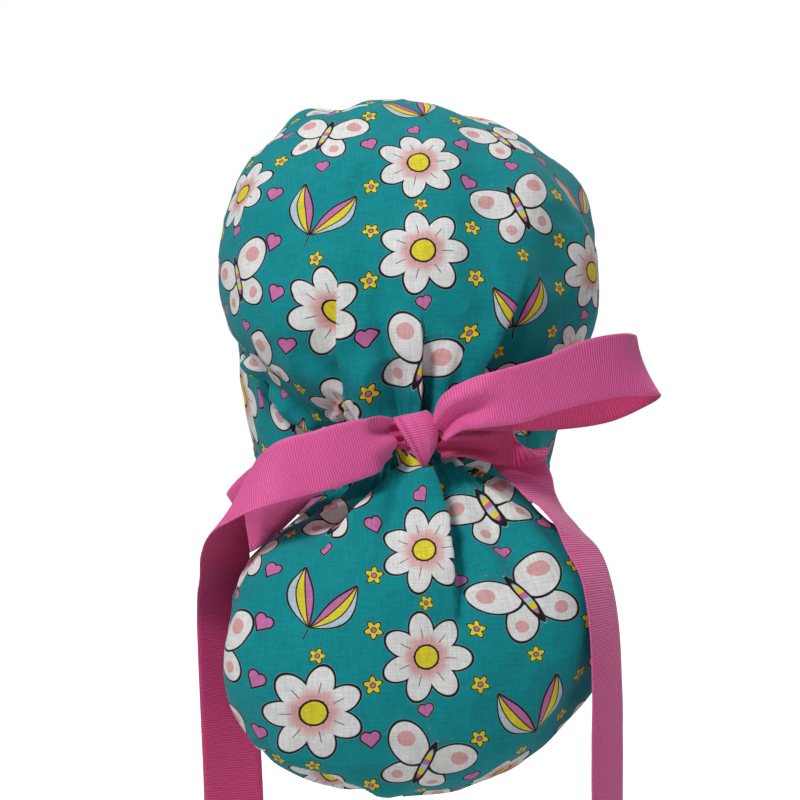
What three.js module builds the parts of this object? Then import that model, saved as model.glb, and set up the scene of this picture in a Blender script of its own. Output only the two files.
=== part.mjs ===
// A ponytail scrub cap: a puffed cotton crown on a cloth band, a hanging hair pouch, and a ribbon
// tied in a bow round the gathered neck between them.
// Millimetres, +Z up, the face side towards +Y and the pouch towards -Y.
import * as THREE from "three";

// Sizes of the cloth
const CLOTH = 1.6;
const BAND_CLOTH = 2.2;
const GAP = 0.3;
const WRAP_GAP = 2.4 * GAP;

// Sizes of the crown, measured from the fold at the nape
const NAPE_Y = -68;
const NAPE_Z = -10;
const NAPE_FOLD = 7;
const CROWN_REACH = 195;
const CROWN_HALF_WIDTH = 87;
const CROWN_SHIFT = 1.5;
const ROUNDNESS = 2.06;

// Sizes of the gathered neck and the pouch below it
const NECK_REACH = 48;
const NECK_HALF_WIDTH = 20.5;
const NECK_ANGLE = 17;
const NECK_SHIFT = -3;
const POUCH_LENGTH = 147;
const POUCH_LEAN = 13;
const POUCH_HALF_WIDTH = 83;
const POUCH_BACK = 43;
const POUCH_FRONT = 17;

// Sizes of the head opening
const SEAM_ANGLE = 135;
const RIM_HALF_LENGTH = 73;
const RIM_HALF_WIDTH = 68;
const RIM_MIDDLE_Y = 18;
const RIM_MIDDLE_Z = 22;
const RIM_RISE = 60;
const EAR_DROP = 30;
const BAND_BULGE = 3;

// Sizes of the ribbon and its bow
const RIBBON_WIDTH = 26;
const RIBBON = 1;
const KNOT_HALF_WIDTH = 9.5;
const KNOT_HALF_HEIGHT = 8.5;
const KNOT_HALF_DEPTH = 6.5;
const KNOT_SHIFT = -4;
const KNOT_SEAT = 1.6;
const KNOT_RISE = 1;

// Crown sections fan out from the nape fold: fan = share of the turn from neck to band seam,
// reach and width = share of the way from the neck's size to the crown's own.
const CROWN_ROWS = [
  { fan: 0, reach: 0, width: 0 },
  { fan: 0.07, reach: 0.005, width: 0.01 },
  { fan: 0.15, reach: 0.035, width: 0.1 },
  { fan: 0.24, reach: 0.11, width: 0.25 },
  { fan: 0.35, reach: 0.232, width: 0.45 },
  { fan: 0.44, reach: 0.38, width: 0.64 },
  { fan: 0.54, reach: 0.54, width: 0.8 },
  { fan: 0.645, reach: 0.713, width: 0.91 },
  { fan: 0.76, reach: 0.843, width: 0.98 },
  { fan: 0.855, reach: 0.936, width: 1 },
  { fan: 0.95, reach: 1, width: 0.95 },
  { fan: 1, reach: 0.985, width: 0.87 },
];

// Pouch sections from the neck to the turned-under bottom: drop = share of the pouch's length,
// back and front = share of the bulge behind and before the neck, width = share of the way from
// the neck's half width to the pouch's own, tilt = share of the neck's slope.
const POUCH_ROWS = [
  { drop: 0, back: 0, front: 0, width: 0, tilt: 1 },
  { drop: 0.03, back: 0.05, front: 0.01, width: 0.04, tilt: 0.8 },
  { drop: 0.08, back: 0.17, front: 0.06, width: 0.17, tilt: 0.5 },
  { drop: 0.15, back: 0.4, front: 0.2, width: 0.4, tilt: 0.2 },
  { drop: 0.235, back: 0.64, front: 0.42, width: 0.65, tilt: 0 },
  { drop: 0.335, back: 0.84, front: 0.68, width: 0.86, tilt: 0 },
  { drop: 0.445, back: 0.96, front: 0.9, width: 0.98, tilt: 0 },
  { drop: 0.56, back: 1, front: 1, width: 1, tilt: 0 },
  { drop: 0.68, back: 0.98, front: 0.97, width: 0.935, tilt: 0 },
  { drop: 0.79, back: 0.9, front: 0.8, width: 0.8, tilt: 0 },
  { drop: 0.88, back: 0.72, front: 0.5, width: 0.6, tilt: 0 },
  { drop: 0.95, back: 0.43, front: 0.05, width: 0.34, tilt: 0 },
  { drop: 0.985, back: 0.1, front: -0.5, width: 0.04, tilt: 0 },
];

// Valleys pressed into the cloth at the gathered neck: turn = degrees round the neck from the
// back, spread = half width in degrees, depth in cloth thicknesses, run = share of the panel.
const CROWN_FOLDS = [
  { turn: -150, spread: 9, depth: 1.6, run: 0.25 },
  { turn: -112, spread: 10, depth: 2.6, run: 0.3 },
  { turn: -78, spread: 9, depth: 3.0, run: 0.34 },
  { turn: -46, spread: 8, depth: 3.4, run: 0.36 },
  { turn: -17, spread: 7, depth: 3.6, run: 0.34 },
  { turn: 12, spread: 7, depth: 4.2, run: 0.3 },
  { turn: 41, spread: 8, depth: 3.2, run: 0.36 },
  { turn: 74, spread: 9, depth: 2.8, run: 0.32 },
  { turn: 108, spread: 10, depth: 2.6, run: 0.3 },
  { turn: 147, spread: 9, depth: 1.6, run: 0.25 },
];
const POUCH_FOLDS = [
  { turn: -152, spread: 9, depth: 1.8, run: 0.3 },
  { turn: -118, spread: 10, depth: 2.6, run: 0.35 },
  { turn: -82, spread: 8, depth: 3.0, run: 0.4 },
  { turn: -55, spread: 8, depth: 3.2, run: 0.45 },
  { turn: -30, spread: 7, depth: 2.6, run: 0.3 },
  { turn: 8, spread: 7, depth: 5.6, run: 0.62 },
  { turn: 38, spread: 8, depth: 3.0, run: 0.4 },
  { turn: 70, spread: 9, depth: 3.2, run: 0.42 },
  { turn: 106, spread: 10, depth: 2.6, run: 0.35 },
  { turn: 148, spread: 9, depth: 1.8, run: 0.3 },
];

// Broad dents in the panels: share = place along the panel from the neck, turn = degrees from the
// back, depth in millimetres (a negative one puffs out), reach = share along, spread = degrees.
const CROWN_DENTS = [
  { share: 0.8, turn: -26, depth: 4, reach: 0.1, spread: 12 },
  { share: 0.72, turn: -52, depth: -2.5, reach: 0.1, spread: 16 },
  { share: 0.8, turn: 6, depth: -1.5, reach: 0.1, spread: 14 },
  { share: 0.78, turn: 38, depth: 3, reach: 0.12, spread: 14 },
  { share: 0.95, turn: -70, depth: 2.5, reach: 0.12, spread: 12 },
  { share: 0.97, turn: 86, depth: 5, reach: 0.16, spread: 22 },
  { share: 0.5, turn: 62, depth: -2, reach: 0.12, spread: 18 },
  { share: 0.42, turn: -24, depth: 2.5, reach: 0.14, spread: 9 },
];
const POUCH_DENTS = [
  { share: 0.42, turn: -38, depth: 4, reach: 0.12, spread: 10 },
  { share: 0.5, turn: 40, depth: -2, reach: 0.16, spread: 16 },
  { share: 0.85, turn: -48, depth: 6, reach: 0.08, spread: 22 },
  { share: 0.8, turn: 60, depth: 2.5, reach: 0.1, spread: 18 },
];

// Ribbon stations: x, y, z of the middle of the ribbon from the middle of the knot, side_x, side_y,
// side_z pointing across it from upper to lower edge, and full = share of its width lying open.
const STATION = ["x", "y", "z", "side_x", "side_y", "side_z", "full"];
const LOOP_LEFT = [
  [-10, -1, 1, 0.3, 0, -1, 0.35],
  [-19, 0, -2, 0.1, 0.1, -1, 0.55],
  [-28, 3, -6, 0.1, 0.1, -1, 0.75],
  [-38, 8, -10, 0.2, 0.2, -1, 0.9],
  [-49, 15, -16, 0.2, 0.2, -0.9, 0.95],
  [-59, 23, -23, 0.3, 0.3, -0.9, 0.95],
  [-66, 32, -31, 0.3, 0.3, -0.9, 1],
  [-70, 39, -37, 0.3, 0.3, -0.9, 1],
  [-71, 45, -40, 0.3, 0.3, -0.9, 1],
  [-68, 49, -40, 0.2, 0.3, -0.9, 1],
  [-62, 50, -35, 0.2, 0.4, -0.9, 1],
  [-53, 47, -27, 0.2, 0.4, -0.9, 0.85],
  [-43, 38, -17, 0.2, 0.4, -0.9, 0.65],
  [-32, 23, -8, 0.2, 0.3, -0.9, 0.4],
  [-23, 11, -4, 0.2, 0.1, -1, 0.25],
];
const LOOP_RIGHT = [
  [9.9, -2, 3, 0.1, 0, -1, 0.45],
  [16, -7, 11, 0.3, 0.1, -1, 0.65],
  [26, -11, 15, 0.1, 0.1, -1, 0.8],
  [40, -13, 18, 0.1, 0.1, -1, 0.9],
  [57, -11, 23, 0.1, 0.1, -1, 0.9],
  [73, -7, 28, 0.1, 0.1, -1, 1],
  [87, 0, 30, 0.2, 0.1, -1, 1],
  [97, 9, 29, 0.4, 0.1, -0.9, 1],
  [100, 17, 27, 0.4, 0, -0.9, 1],
  [96, 24, 23, 0.3, 0, -0.9, 1],
  [83, 26, 17, 0.2, 0, -1, 1],
  [65, 22, 14, 0.1, 0, -1, 0.95],
  [47, 16, 12, 0.1, 0, -1, 0.8],
  [30, 9, 10, 0.2, -0.1, -1, 0.6],
  [18, 2, 8, 0.3, -0.1, -1, 0.4],
];
const TAIL_LEFT = [
  [-9.4, -2.5, 0, 0.1, 0, -1, 0.6],
  [-15, -7, -1, 0.2, 0, -1, 0.8],
  [-20, -10, -3, 0.1, 0, -1, 0.9],
  [-31, -11, -6, 0.1, 0, -1, 0.95],
  [-41, -10, -9, 0, -0.1, -1, 0.95],
  [-52, -7, -12, 0, -0.1, -1, 0.95],
  [-62, -2, -17, -0.1, -0.3, -0.9, 0.9],
  [-70, 4, -23, -0.3, -0.5, -0.8, 0.9],
  [-76, 11, -29, -0.5, -0.5, -0.8, 0.95],
  [-79, 17, -36, -0.6, -0.4, -0.7, 1],
  [-80, 24, -45, -0.7, -0.3, -0.7, 1],
  [-81, 31, -55, -0.8, -0.3, -0.6, 1],
  [-82, 39, -67, -0.9, -0.3, -0.4, 1],
  [-82, 45, -83, -1, -0.3, -0.3, 1],
  [-81, 48, -110, -1, -0.3, -0.1, 1],
  [-79, 49, -152, -1, -0.2, 0, 1],
  [-78, 49, -183, -1, -0.1, 0, 1],
];
const TAIL_RIGHT = [
  [9.9, -0.5, -3, 0, 0, -1, 0.4],
  [18, 5, -3, 0.2, -0.1, -1, 0.45],
  [28, 14, -4, 0.2, -0.1, -1, 0.5],
  [37, 19, -4, 0.3, -0.1, -1, 0.55],
  [43, 22, -4, 0.7, -0.3, -0.7, 0.6],
  [46, 25, -5, 0.9, -0.1, -0.3, 0.75],
  [48, 25, -8, 1, 0.1, -0.1, 0.9],
  [49, 22, -13, 1, 0.3, 0, 0.9],
  [51, 17, -19, 0.8, 0.5, 0.1, 0.85],
  [54, 12, -25, 0.6, 0.8, 0.1, 0.85],
  [59, 7, -31, 0.4, 0.9, 0, 0.9],
  [65, 2, -38, 0.4, 0.9, 0, 0.95],
  [71, -3, -47, 0.6, 0.8, 0, 1],
  [76, -7, -59, 0.6, 0.8, -0.1, 1],
  [80, -10, -79, 0.6, 0.8, -0.1, 1],
  [82, -8, -105, 0.6, 0.8, -0.1, 1],
  [83, -3, -129, 0.6, 0.8, -0.2, 1],
  [86, 3, -157, 0.6, 0.8, -0.2, 1],
  [89, 7, -185, 0.6, 0.8, -0.2, 1],
];

const PRINTED_COTTON = new THREE.MeshStandardMaterial({
  color: 0x12969b,
  roughness: 0.85,
  metalness: 0,
});
const GROSGRAIN = new THREE.MeshStandardMaterial({
  color: 0xd9649a,
  roughness: 0.55,
  metalness: 0,
});

const rad = THREE.MathUtils.degToRad;

// Value of a smooth curve through table rows at a place counted in rows.
function along(values, place) {
  const last = values.length - 1;
  const at = Math.min(Math.max(place, 0), last);
  const i = Math.min(Math.floor(at), last - 1);
  const t = at - i;
  const a = values[Math.max(i - 1, 0)];
  const b = values[i];
  const c = values[i + 1];
  const d = values[Math.min(i + 2, last)];
  const bend = 2 * a - 5 * b + 4 * c - d;
  return b + 0.5 * t * (c - a + t * (bend + t * (3 * (b - c) + d - a)));
}

// Corner of a rounded section: share of the half width and of the half depth at a turn.
function squircle(turn, squareness) {
  const power = 2 / squareness;
  const side = Math.sin(turn);
  const back = Math.cos(turn);
  return [
    Math.sign(side) * Math.abs(side) ** power,
    Math.sign(back) * Math.abs(back) ** power,
  ];
}

// How far the folds press the cloth in at a turn round the neck and a share along the panel.
function foldDepth(folds, turn, share) {
  let depth = 0;
  for (const fold of folds) {
    const away = Math.atan2(Math.sin(turn - rad(fold.turn)), Math.cos(turn - rad(fold.turn)));
    const across = Math.exp(-((away / rad(fold.spread)) ** 2));
    const fade = Math.max(0, 1 - share / fold.run);
    depth += fold.depth * CLOTH * across * fade * Math.min(1, 0.35 + share / 0.06);
  }
  return depth;
}

// How far the dents press the cloth in.
function dentDepth(dents, turn, share) {
  let depth = 0;
  for (const dent of dents) {
    const away = Math.atan2(Math.sin(turn - rad(dent.turn)), Math.cos(turn - rad(dent.turn)));
    const across = away / rad(dent.spread);
    const run = (share - dent.share) / dent.reach;
    depth += dent.depth * Math.exp(-across * across - run * run);
  }
  return depth;
}

// Point of the crown's outer face before folding: place in table rows, turn round the section.
function crownPoint(place, turn) {
  const fan = along(CROWN_ROWS.map((row) => row.fan), place);
  const reach = along(CROWN_ROWS.map((row) => row.reach), place);
  const width = along(CROWN_ROWS.map((row) => row.width), place);
  const angle = rad(NECK_ANGLE + (SEAM_ANGLE - NECK_ANGLE) * fan);
  const outer = NECK_REACH + (CROWN_REACH - NECK_REACH) * reach;
  const halfWidth = NECK_HALF_WIDTH + (CROWN_HALF_WIDTH - NECK_HALF_WIDTH) * width;
  const [side, back] = squircle(turn, ROUNDNESS);
  const out = (outer + NAPE_FOLD) / 2 + ((outer - NAPE_FOLD) / 2) * back;
  return new THREE.Vector3(
    NECK_SHIFT + (CROWN_SHIFT - NECK_SHIFT) * Math.min(1, 2.2 * fan) + halfWidth * side,
    NAPE_Y - out * Math.cos(angle),
    NAPE_Z + out * Math.sin(angle),
  );
}

// Point of the pouch's outer face before folding.
function pouchPoint(place, turn) {
  const drop = along(POUCH_ROWS.map((row) => row.drop), place);
  const back = along(POUCH_ROWS.map((row) => row.back), place);
  const front = along(POUCH_ROWS.map((row) => row.front), place);
  const width = along(POUCH_ROWS.map((row) => row.width), place);
  const tilt = along(POUCH_ROWS.map((row) => row.tilt), place);
  const slope = rad(NECK_ANGLE);
  const halfNeck = (NECK_REACH - NAPE_FOLD) / 2;
  const middle = (NECK_REACH + NAPE_FOLD) / 2;
  const neckY = NAPE_Y - middle * Math.cos(slope);
  const neckZ = NAPE_Z + middle * Math.sin(slope);
  const backY = neckY - halfNeck * Math.cos(slope * tilt) - POUCH_BACK * back;
  const frontY = neckY + halfNeck * Math.cos(slope * tilt) + POUCH_FRONT * front;
  const halfWidth = NECK_HALF_WIDTH + (POUCH_HALF_WIDTH - NECK_HALF_WIDTH) * width;
  const [side, out] = squircle(turn, 2.2);
  const lean = POUCH_LEAN * width * drop * side;
  return new THREE.Vector3(
    NECK_SHIFT * (1 - 0.5 * width) + halfWidth * side,
    (backY + frontY) / 2 + ((backY - frontY) / 2) * out,
    neckZ - GAP - POUCH_LENGTH * drop + halfNeck * Math.sin(slope * tilt) * out + lean,
  );
}

// Direction in which the sections of the crown turn at the band seam.
const SEAM_FACING = new THREE.Vector3(0, Math.sin(rad(SEAM_ANGLE)), Math.cos(rad(SEAM_ANGLE)));

// Outward direction of a cloth face at a place and a turn; at the band seam it lies in the seam.
function clothFacing(point, place, turn, last) {
  const here = point(place, turn);
  const run = point(Math.min(place + 0.05, last), turn).sub(point(Math.max(place - 0.05, 0), turn));
  const round = point(place, turn + 0.02).sub(point(place, turn - 0.02));
  const facing = new THREE.Vector3().crossVectors(round, run).normalize();
  if (facing.dot(outwardHint(point, place, here)) < 0) {
    facing.negate();
  }
  if (point === crownPoint && place === last) {
    facing.addScaledVector(SEAM_FACING, -facing.dot(SEAM_FACING)).normalize();
  }
  return facing;
}

// Share of the dents that is left near the two ends of a panel, whose edges stay in place.
function level(share) {
  return Math.min(1, share / 0.1, (1 - share) / 0.06);
}

// Folded outer face and the wall's inner face as grids of rows by turns, from a point function.
function clothGrid(point, rows, turns, folds, dents) {
  const outer = [];
  const inner = [];
  const steps = rows.length - 1;
  rows.forEach((place, i) => {
    const share = i / steps;
    const outerRow = [];
    const innerRow = [];
    for (let j = 0; j < turns; j += 1) {
      const turn = (2 * Math.PI * j) / turns;
      const here = point(place, turn);
      const facing = clothFacing(point, place, turn, rows[steps]);
      const press = foldDepth(folds, turn, share) + dentDepth(dents, turn, share) * level(share);
      outerRow.push(here.clone().addScaledVector(facing, -press));
      innerRow.push(here.clone().addScaledVector(facing, -press - CLOTH));
    }
    outer.push(outerRow);
    inner.push(innerRow);
  });
  return { outer, inner };
}

// Direction from the middle of a section to a point on it.
function outwardHint(point, place, here) {
  const middle = point(place, 0).add(point(place, Math.PI)).multiplyScalar(0.5);
  return here.clone().sub(middle);
}

// Closed mesh from rings of points; the rings run outside first and come back inside.
function ringMesh(rings, closedRing, capStart, capEnd) {
  const turns = rings[0].length;
  const points = rings.flat();
  const faces = [];
  const count = closedRing ? rings.length : rings.length - 1;
  for (let i = 0; i < count; i += 1) {
    const a = i * turns;
    const b = ((i + 1) % rings.length) * turns;
    for (let j = 0; j < turns; j += 1) {
      const k = (j + 1) % turns;
      faces.push([a + j, a + k, b + k], [a + j, b + k, b + j]);
    }
  }
  if (capStart) {
    const pole = points.push(capStart) - 1;
    for (let j = 0; j < turns; j += 1) {
      faces.push([pole, (j + 1) % turns, j]);
    }
  }
  if (capEnd) {
    const pole = points.push(capEnd) - 1;
    const first = (rings.length - 1) * turns;
    for (let j = 0; j < turns; j += 1) {
      faces.push([first + j, first + ((j + 1) % turns), pole]);
    }
  }
  return solidFrom(points, faces);
}

// Geometry of a closed body, turned to face outwards.
function solidFrom(points, faces) {
  let volume = 0;
  for (const [a, b, c] of faces) {
    volume += points[a].dot(new THREE.Vector3().crossVectors(points[b], points[c]));
  }
  const facing = volume < 0 ? faces.map(([a, b, c]) => [a, c, b]) : faces;
  const geometry = new THREE.BufferGeometry();
  const flat = points.flatMap((point) => [point.x, point.y, point.z]);
  geometry.setAttribute("position", new THREE.Float32BufferAttribute(flat, 3));
  geometry.setIndex(facing.flat());
  geometry.computeVertexNormals();
  return geometry;
}

// Evenly spaced places between two table rows.
function places(from, to, steps) {
  return Array.from({ length: steps + 1 }, (_, i) => from + ((to - from) * i) / steps);
}

function crownGeometry() {
  const rows = places(0, CROWN_ROWS.length - 1, 20);
  const { outer, inner } = clothGrid(crownPoint, rows, 54, CROWN_FOLDS, CROWN_DENTS);
  return ringMesh([...outer, ...inner.reverse()], true);
}

function pouchGeometry() {
  const rows = places(0, POUCH_ROWS.length - 1, 17);
  const { outer, inner } = clothGrid(pouchPoint, rows, 48, POUCH_FOLDS, POUCH_DENTS);
  const middle = (ring) => {
    const sum = ring.reduce((all, point) => all.add(point), new THREE.Vector3());
    return sum.multiplyScalar(1 / ring.length);
  };
  const bottom = middle(outer[outer.length - 1]);
  const floor = bottom.clone().add(new THREE.Vector3(0, 0, CLOTH));
  return ringMesh([...outer.reverse(), ...inner], false, bottom, floor);
}

// Band from the crown's seam down to the rim of the head opening.
function bandGeometry() {
  const turns = 54;
  const seam = CROWN_ROWS.length - 1;
  const outer = [];
  const inner = [];
  for (const share of [0, 0.2, 0.5, 0.8, 1]) {
    const outerRing = [];
    const innerRing = [];
    for (let j = 0; j < turns; j += 1) {
      const turn = (2 * Math.PI * j) / turns;
      const [side, back] = squircle(turn, ROUNDNESS);
      const top = crownPoint(seam, turn).addScaledVector(SEAM_FACING, GAP);
      const rim = new THREE.Vector3(
        CROWN_SHIFT + RIM_HALF_WIDTH * side,
        RIM_MIDDLE_Y + RIM_HALF_LENGTH * back,
        RIM_MIDDLE_Z + RIM_RISE * back - EAR_DROP * side * side,
      );
      const level = new THREE.Vector3(rim.x, rim.y - RIM_MIDDLE_Y, 0).normalize();
      const away = clothFacing(crownPoint, seam, turn, seam).lerp(level, share).normalize();
      const here = top.lerp(rim, share).addScaledVector(away, BAND_BULGE * Math.sin(Math.PI * share));
      outerRing.push(here);
      innerRing.push(here.clone().addScaledVector(away, -BAND_CLOTH));
    }
    outer.push(outerRing);
    inner.push(innerRing);
  }
  return ringMesh([...outer, ...inner.reverse()], true);
}

// Rows of the ribbon turned round the neck: the panel under it and the place in its table.
const WRAP_ROWS = [
  [crownPoint, 1.1],
  [crownPoint, 0.6],
  [crownPoint, 0.1],
  [pouchPoint, 0.4],
  [pouchPoint, 0.9],
];

// Ribbon turned once round the neck, an even gap outside the cloth.
function wrapGeometry() {
  const turns = 36;
  const near = [];
  const far = [];
  for (const [point, place] of WRAP_ROWS) {
    const last = point === crownPoint ? CROWN_ROWS.length - 1 : POUCH_ROWS.length - 1;
    const nearRing = [];
    const farRing = [];
    for (let j = 0; j < turns; j += 1) {
      const turn = (2 * Math.PI * j) / turns;
      const here = point(place, turn);
      const facing = clothFacing(point, place, turn, last);
      nearRing.push(here.clone().addScaledVector(facing, WRAP_GAP));
      farRing.push(here.clone().addScaledVector(facing, WRAP_GAP + RIBBON));
    }
    near.push(nearRing);
    far.push(farRing);
  }
  return ringMesh([...far, ...near.reverse()], true);
}

// Middle of the knot, seated on the ribbon round the neck.
function knotMiddle() {
  const back = crownPoint(0, 0);
  const out = WRAP_GAP + RIBBON + KNOT_SEAT + KNOT_HALF_DEPTH;
  return new THREE.Vector3(KNOT_SHIFT, back.y - out, back.z + KNOT_RISE);
}

// Ribbon strip through a table of stations.
function stripGeometry(table) {
  const column = (name) => table.map((row) => row[STATION.indexOf(name)]);
  const steps = (table.length - 1) * 2;
  const at = (name, place) => along(column(name), place);
  const knot = knotMiddle();
  const middle = (place) => new THREE.Vector3(at("x", place), at("y", place), at("z", place)).add(knot);
  const rings = [];
  for (let i = 0; i <= steps; i += 1) {
    const place = i / 2;
    const run = middle(place + 0.05).sub(middle(place - 0.05)).normalize();
    const side = new THREE.Vector3(at("side_x", place), at("side_y", place), at("side_z", place));
    side.addScaledVector(run, -side.dot(run)).normalize();
    const facing = new THREE.Vector3().crossVectors(run, side);
    const half = (RIBBON_WIDTH / 2) * at("full", place);
    const ring = [];
    for (const [across, out] of [[-1, 0.5], [0, 0.5], [1, 0.5], [1, -0.5], [0, -0.5], [-1, -0.5]]) {
      const corner = middle(place).addScaledVector(side, across * half);
      ring.push(corner.addScaledVector(facing, out * RIBBON));
    }
    rings.push(ring);
  }
  const end = (ring) => ring[1].clone().add(ring[4]).multiplyScalar(0.5);
  return ringMesh(rings, false, end(rings[0]), end(rings[rings.length - 1]));
}

// Knot: a rounded pad with one ribbon turn rolled diagonally over it.
function knotGeometry() {
  const depth = KNOT_HALF_DEPTH;
  const centre = knotMiddle();
  const turns = 24;
  const rings = [];
  for (let i = 1; i < 14; i += 1) {
    const polar = (Math.PI * i) / 14;
    const ring = [];
    for (let j = 0; j < turns; j += 1) {
      const turn = (2 * Math.PI * j) / turns;
      const [side, up] = squircle(turn, 2.6);
      const across = Math.sin(polar) ** 0.8;
      const roll = 1 + 0.1 * Math.cos(2 * (turn + 0.6));
      ring.push(new THREE.Vector3(
        centre.x + KNOT_HALF_WIDTH * side * across * roll,
        centre.y - depth * Math.cos(polar),
        centre.z + KNOT_HALF_HEIGHT * up * across * roll,
      ));
    }
    rings.push(ring);
  }
  const tip = centre.clone().setY(centre.y - depth);
  const back = centre.clone().setY(centre.y + depth);
  return ringMesh(rings, false, tip, back);
}

function piece(name, geometry, material) {
  const mesh = new THREE.Mesh(geometry, material);
  mesh.name = name;
  return mesh;
}

const cap = new THREE.Group();
cap.name = "scrub_cap";
cap.add(
  piece("crown", crownGeometry(), PRINTED_COTTON),
  piece("pouch", pouchGeometry(), PRINTED_COTTON),
  piece("band", bandGeometry(), PRINTED_COTTON),
  piece("ribbon_wrap", wrapGeometry(), GROSGRAIN),
  piece("ribbon_knot", knotGeometry(), GROSGRAIN),
  piece("loop_left", stripGeometry(LOOP_LEFT), GROSGRAIN),
  piece("loop_right", stripGeometry(LOOP_RIGHT), GROSGRAIN),
  piece("tail_left", stripGeometry(TAIL_LEFT), GROSGRAIN),
  piece("tail_right", stripGeometry(TAIL_RIGHT), GROSGRAIN),
);
export default cap;
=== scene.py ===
"""A ponytail scrub cap: puffed cotton crown on a cloth band, hanging hair pouch and a ribbon bow.

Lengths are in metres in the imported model's own frame: +Z up, the face side towards +Y and the
pouch towards -Y. Columns of the tables are in millimetres, degrees or shares, as each row says.
"""

import logging
import math
from dataclasses import dataclass, field
from enum import Enum
from typing import Sequence

import bpy
import numpy as np
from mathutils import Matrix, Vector


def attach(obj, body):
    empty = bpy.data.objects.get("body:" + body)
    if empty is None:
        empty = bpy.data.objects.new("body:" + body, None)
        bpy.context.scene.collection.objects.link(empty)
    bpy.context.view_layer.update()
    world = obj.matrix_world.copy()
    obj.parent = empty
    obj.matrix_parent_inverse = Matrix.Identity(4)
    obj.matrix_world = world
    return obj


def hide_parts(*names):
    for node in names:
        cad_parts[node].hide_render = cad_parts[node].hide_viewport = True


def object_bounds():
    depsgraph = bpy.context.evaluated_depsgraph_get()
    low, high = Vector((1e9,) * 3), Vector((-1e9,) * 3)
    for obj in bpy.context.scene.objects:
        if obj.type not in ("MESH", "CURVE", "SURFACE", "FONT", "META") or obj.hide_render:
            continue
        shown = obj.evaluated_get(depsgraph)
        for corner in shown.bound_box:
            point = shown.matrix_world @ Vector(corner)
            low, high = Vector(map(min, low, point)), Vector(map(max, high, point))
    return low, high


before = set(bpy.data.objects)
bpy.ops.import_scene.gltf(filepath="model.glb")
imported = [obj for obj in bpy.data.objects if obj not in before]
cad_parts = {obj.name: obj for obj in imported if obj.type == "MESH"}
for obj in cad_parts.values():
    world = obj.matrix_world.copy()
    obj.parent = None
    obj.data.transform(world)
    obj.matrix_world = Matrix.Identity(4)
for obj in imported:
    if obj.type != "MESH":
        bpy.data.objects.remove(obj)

LOG = logging.getLogger("scrub_cap")
Array = np.ndarray
Object = bpy.types.Object
Material = bpy.types.Material
Tree = bpy.types.NodeTree
Socket = bpy.types.NodeSocket
MM = 0.001
ROOT = "root"
CLOTH_PLACE = "cloth_place"
RIBBON_PLACE = "ribbon_place"
CAD_BOX = [list(corner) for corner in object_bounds()]


class Slot(Enum):
    """Names of the cap's two material slots."""

    COTTON = "printed_cotton"
    RIBBON = "grosgrain_ribbon"


class Held(Enum):
    """Ways in which a sheet is held."""

    GATHERED = "gathered"
    STRETCHED = "stretched"
    FOLDED = "folded"
    HUNG = "hung"


def smooth(low: float, high: float, value: Array) -> Array:
    """Smooth step from 0 at low to 1 at high.

    Args:
        low: Value where the step starts.
        high: Value where the step ends.
        value: Values to step.

    Returns:
        The stepped values.
    """
    t = np.clip((value - low) / (high - low), 0, 1)
    return t * t * (3 - 2 * t)


def wrapped(angle: Array) -> Array:
    """Angle brought into the range of half a turn each way."""
    return np.arctan2(np.sin(angle), np.cos(angle))


def unit(vectors: Array) -> Array:
    """Vectors brought to length one."""
    return vectors / np.maximum(np.linalg.norm(vectors, axis=-1, keepdims=True), 1e-12)


def curve_value(values: Sequence[float], place: Array) -> Array:
    """Smooth curve through a column of a table.

    Args:
        values: The column.
        place: Places on it, counted in rows.

    Returns:
        The column's value at each place.
    """
    column = np.asarray(values, dtype=float)
    last = len(column) - 1
    at = np.clip(place, 0, last)
    i = np.minimum(np.floor(at).astype(int), last - 1)
    t = at - i
    a = column[np.maximum(i - 1, 0)]
    b = column[i]
    c = column[i + 1]
    d = column[np.minimum(i + 2, last)]
    bend = 2 * a - 5 * b + 4 * c - d
    return b + 0.5 * t * (c - a + t * (bend + t * (3 * (b - c) + d - a)))


def squircle(turn: Array, squareness: float) -> tuple[Array, Array]:
    """Rounded section: share of the half width and of the half depth.

    Args:
        turn: Angles round the section from the back.
        squareness: 2 for an ellipse, more for a squarer section.

    Returns:
        The side share and the back share.
    """
    power = 2 / squareness
    side = np.sin(turn)
    back = np.cos(turn)
    return np.sign(side) * np.abs(side) ** power, np.sign(back) * np.abs(back) ** power


def ripple(points: Array, wavelength: float, seed: int, waves: int = 28) -> Array:
    """Even random ripple in space, about -1 to 1.

    Args:
        points: Points to read it at.
        wavelength: Mean length of a wave.
        seed: Seed of its directions.
        waves: Number of plane waves added up.

    Returns:
        One value for each point.
    """
    draw = np.random.default_rng(seed)
    total = np.zeros(points.shape[:-1])
    for _ in range(waves):
        direction = draw.normal(size=3)
        direction /= np.linalg.norm(direction)
        length = wavelength * draw.uniform(0.75, 1.4)
        total += np.cos(points @ direction * (2 * math.pi / length) + draw.uniform(0, 2 * math.pi))
    return total / math.sqrt(waves)


@dataclass
class Grid:
    """Points of a panel's smooth form by rows along it and turns round it."""

    share: Array
    turn: Array
    points: Array
    facing: Array
    round_scale: Array
    along_scale: Array


def unshifted(lift: Array) -> Array:
    """Print shift of nothing, for each point of a lift."""
    return np.zeros(lift.shape + (2,))


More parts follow.
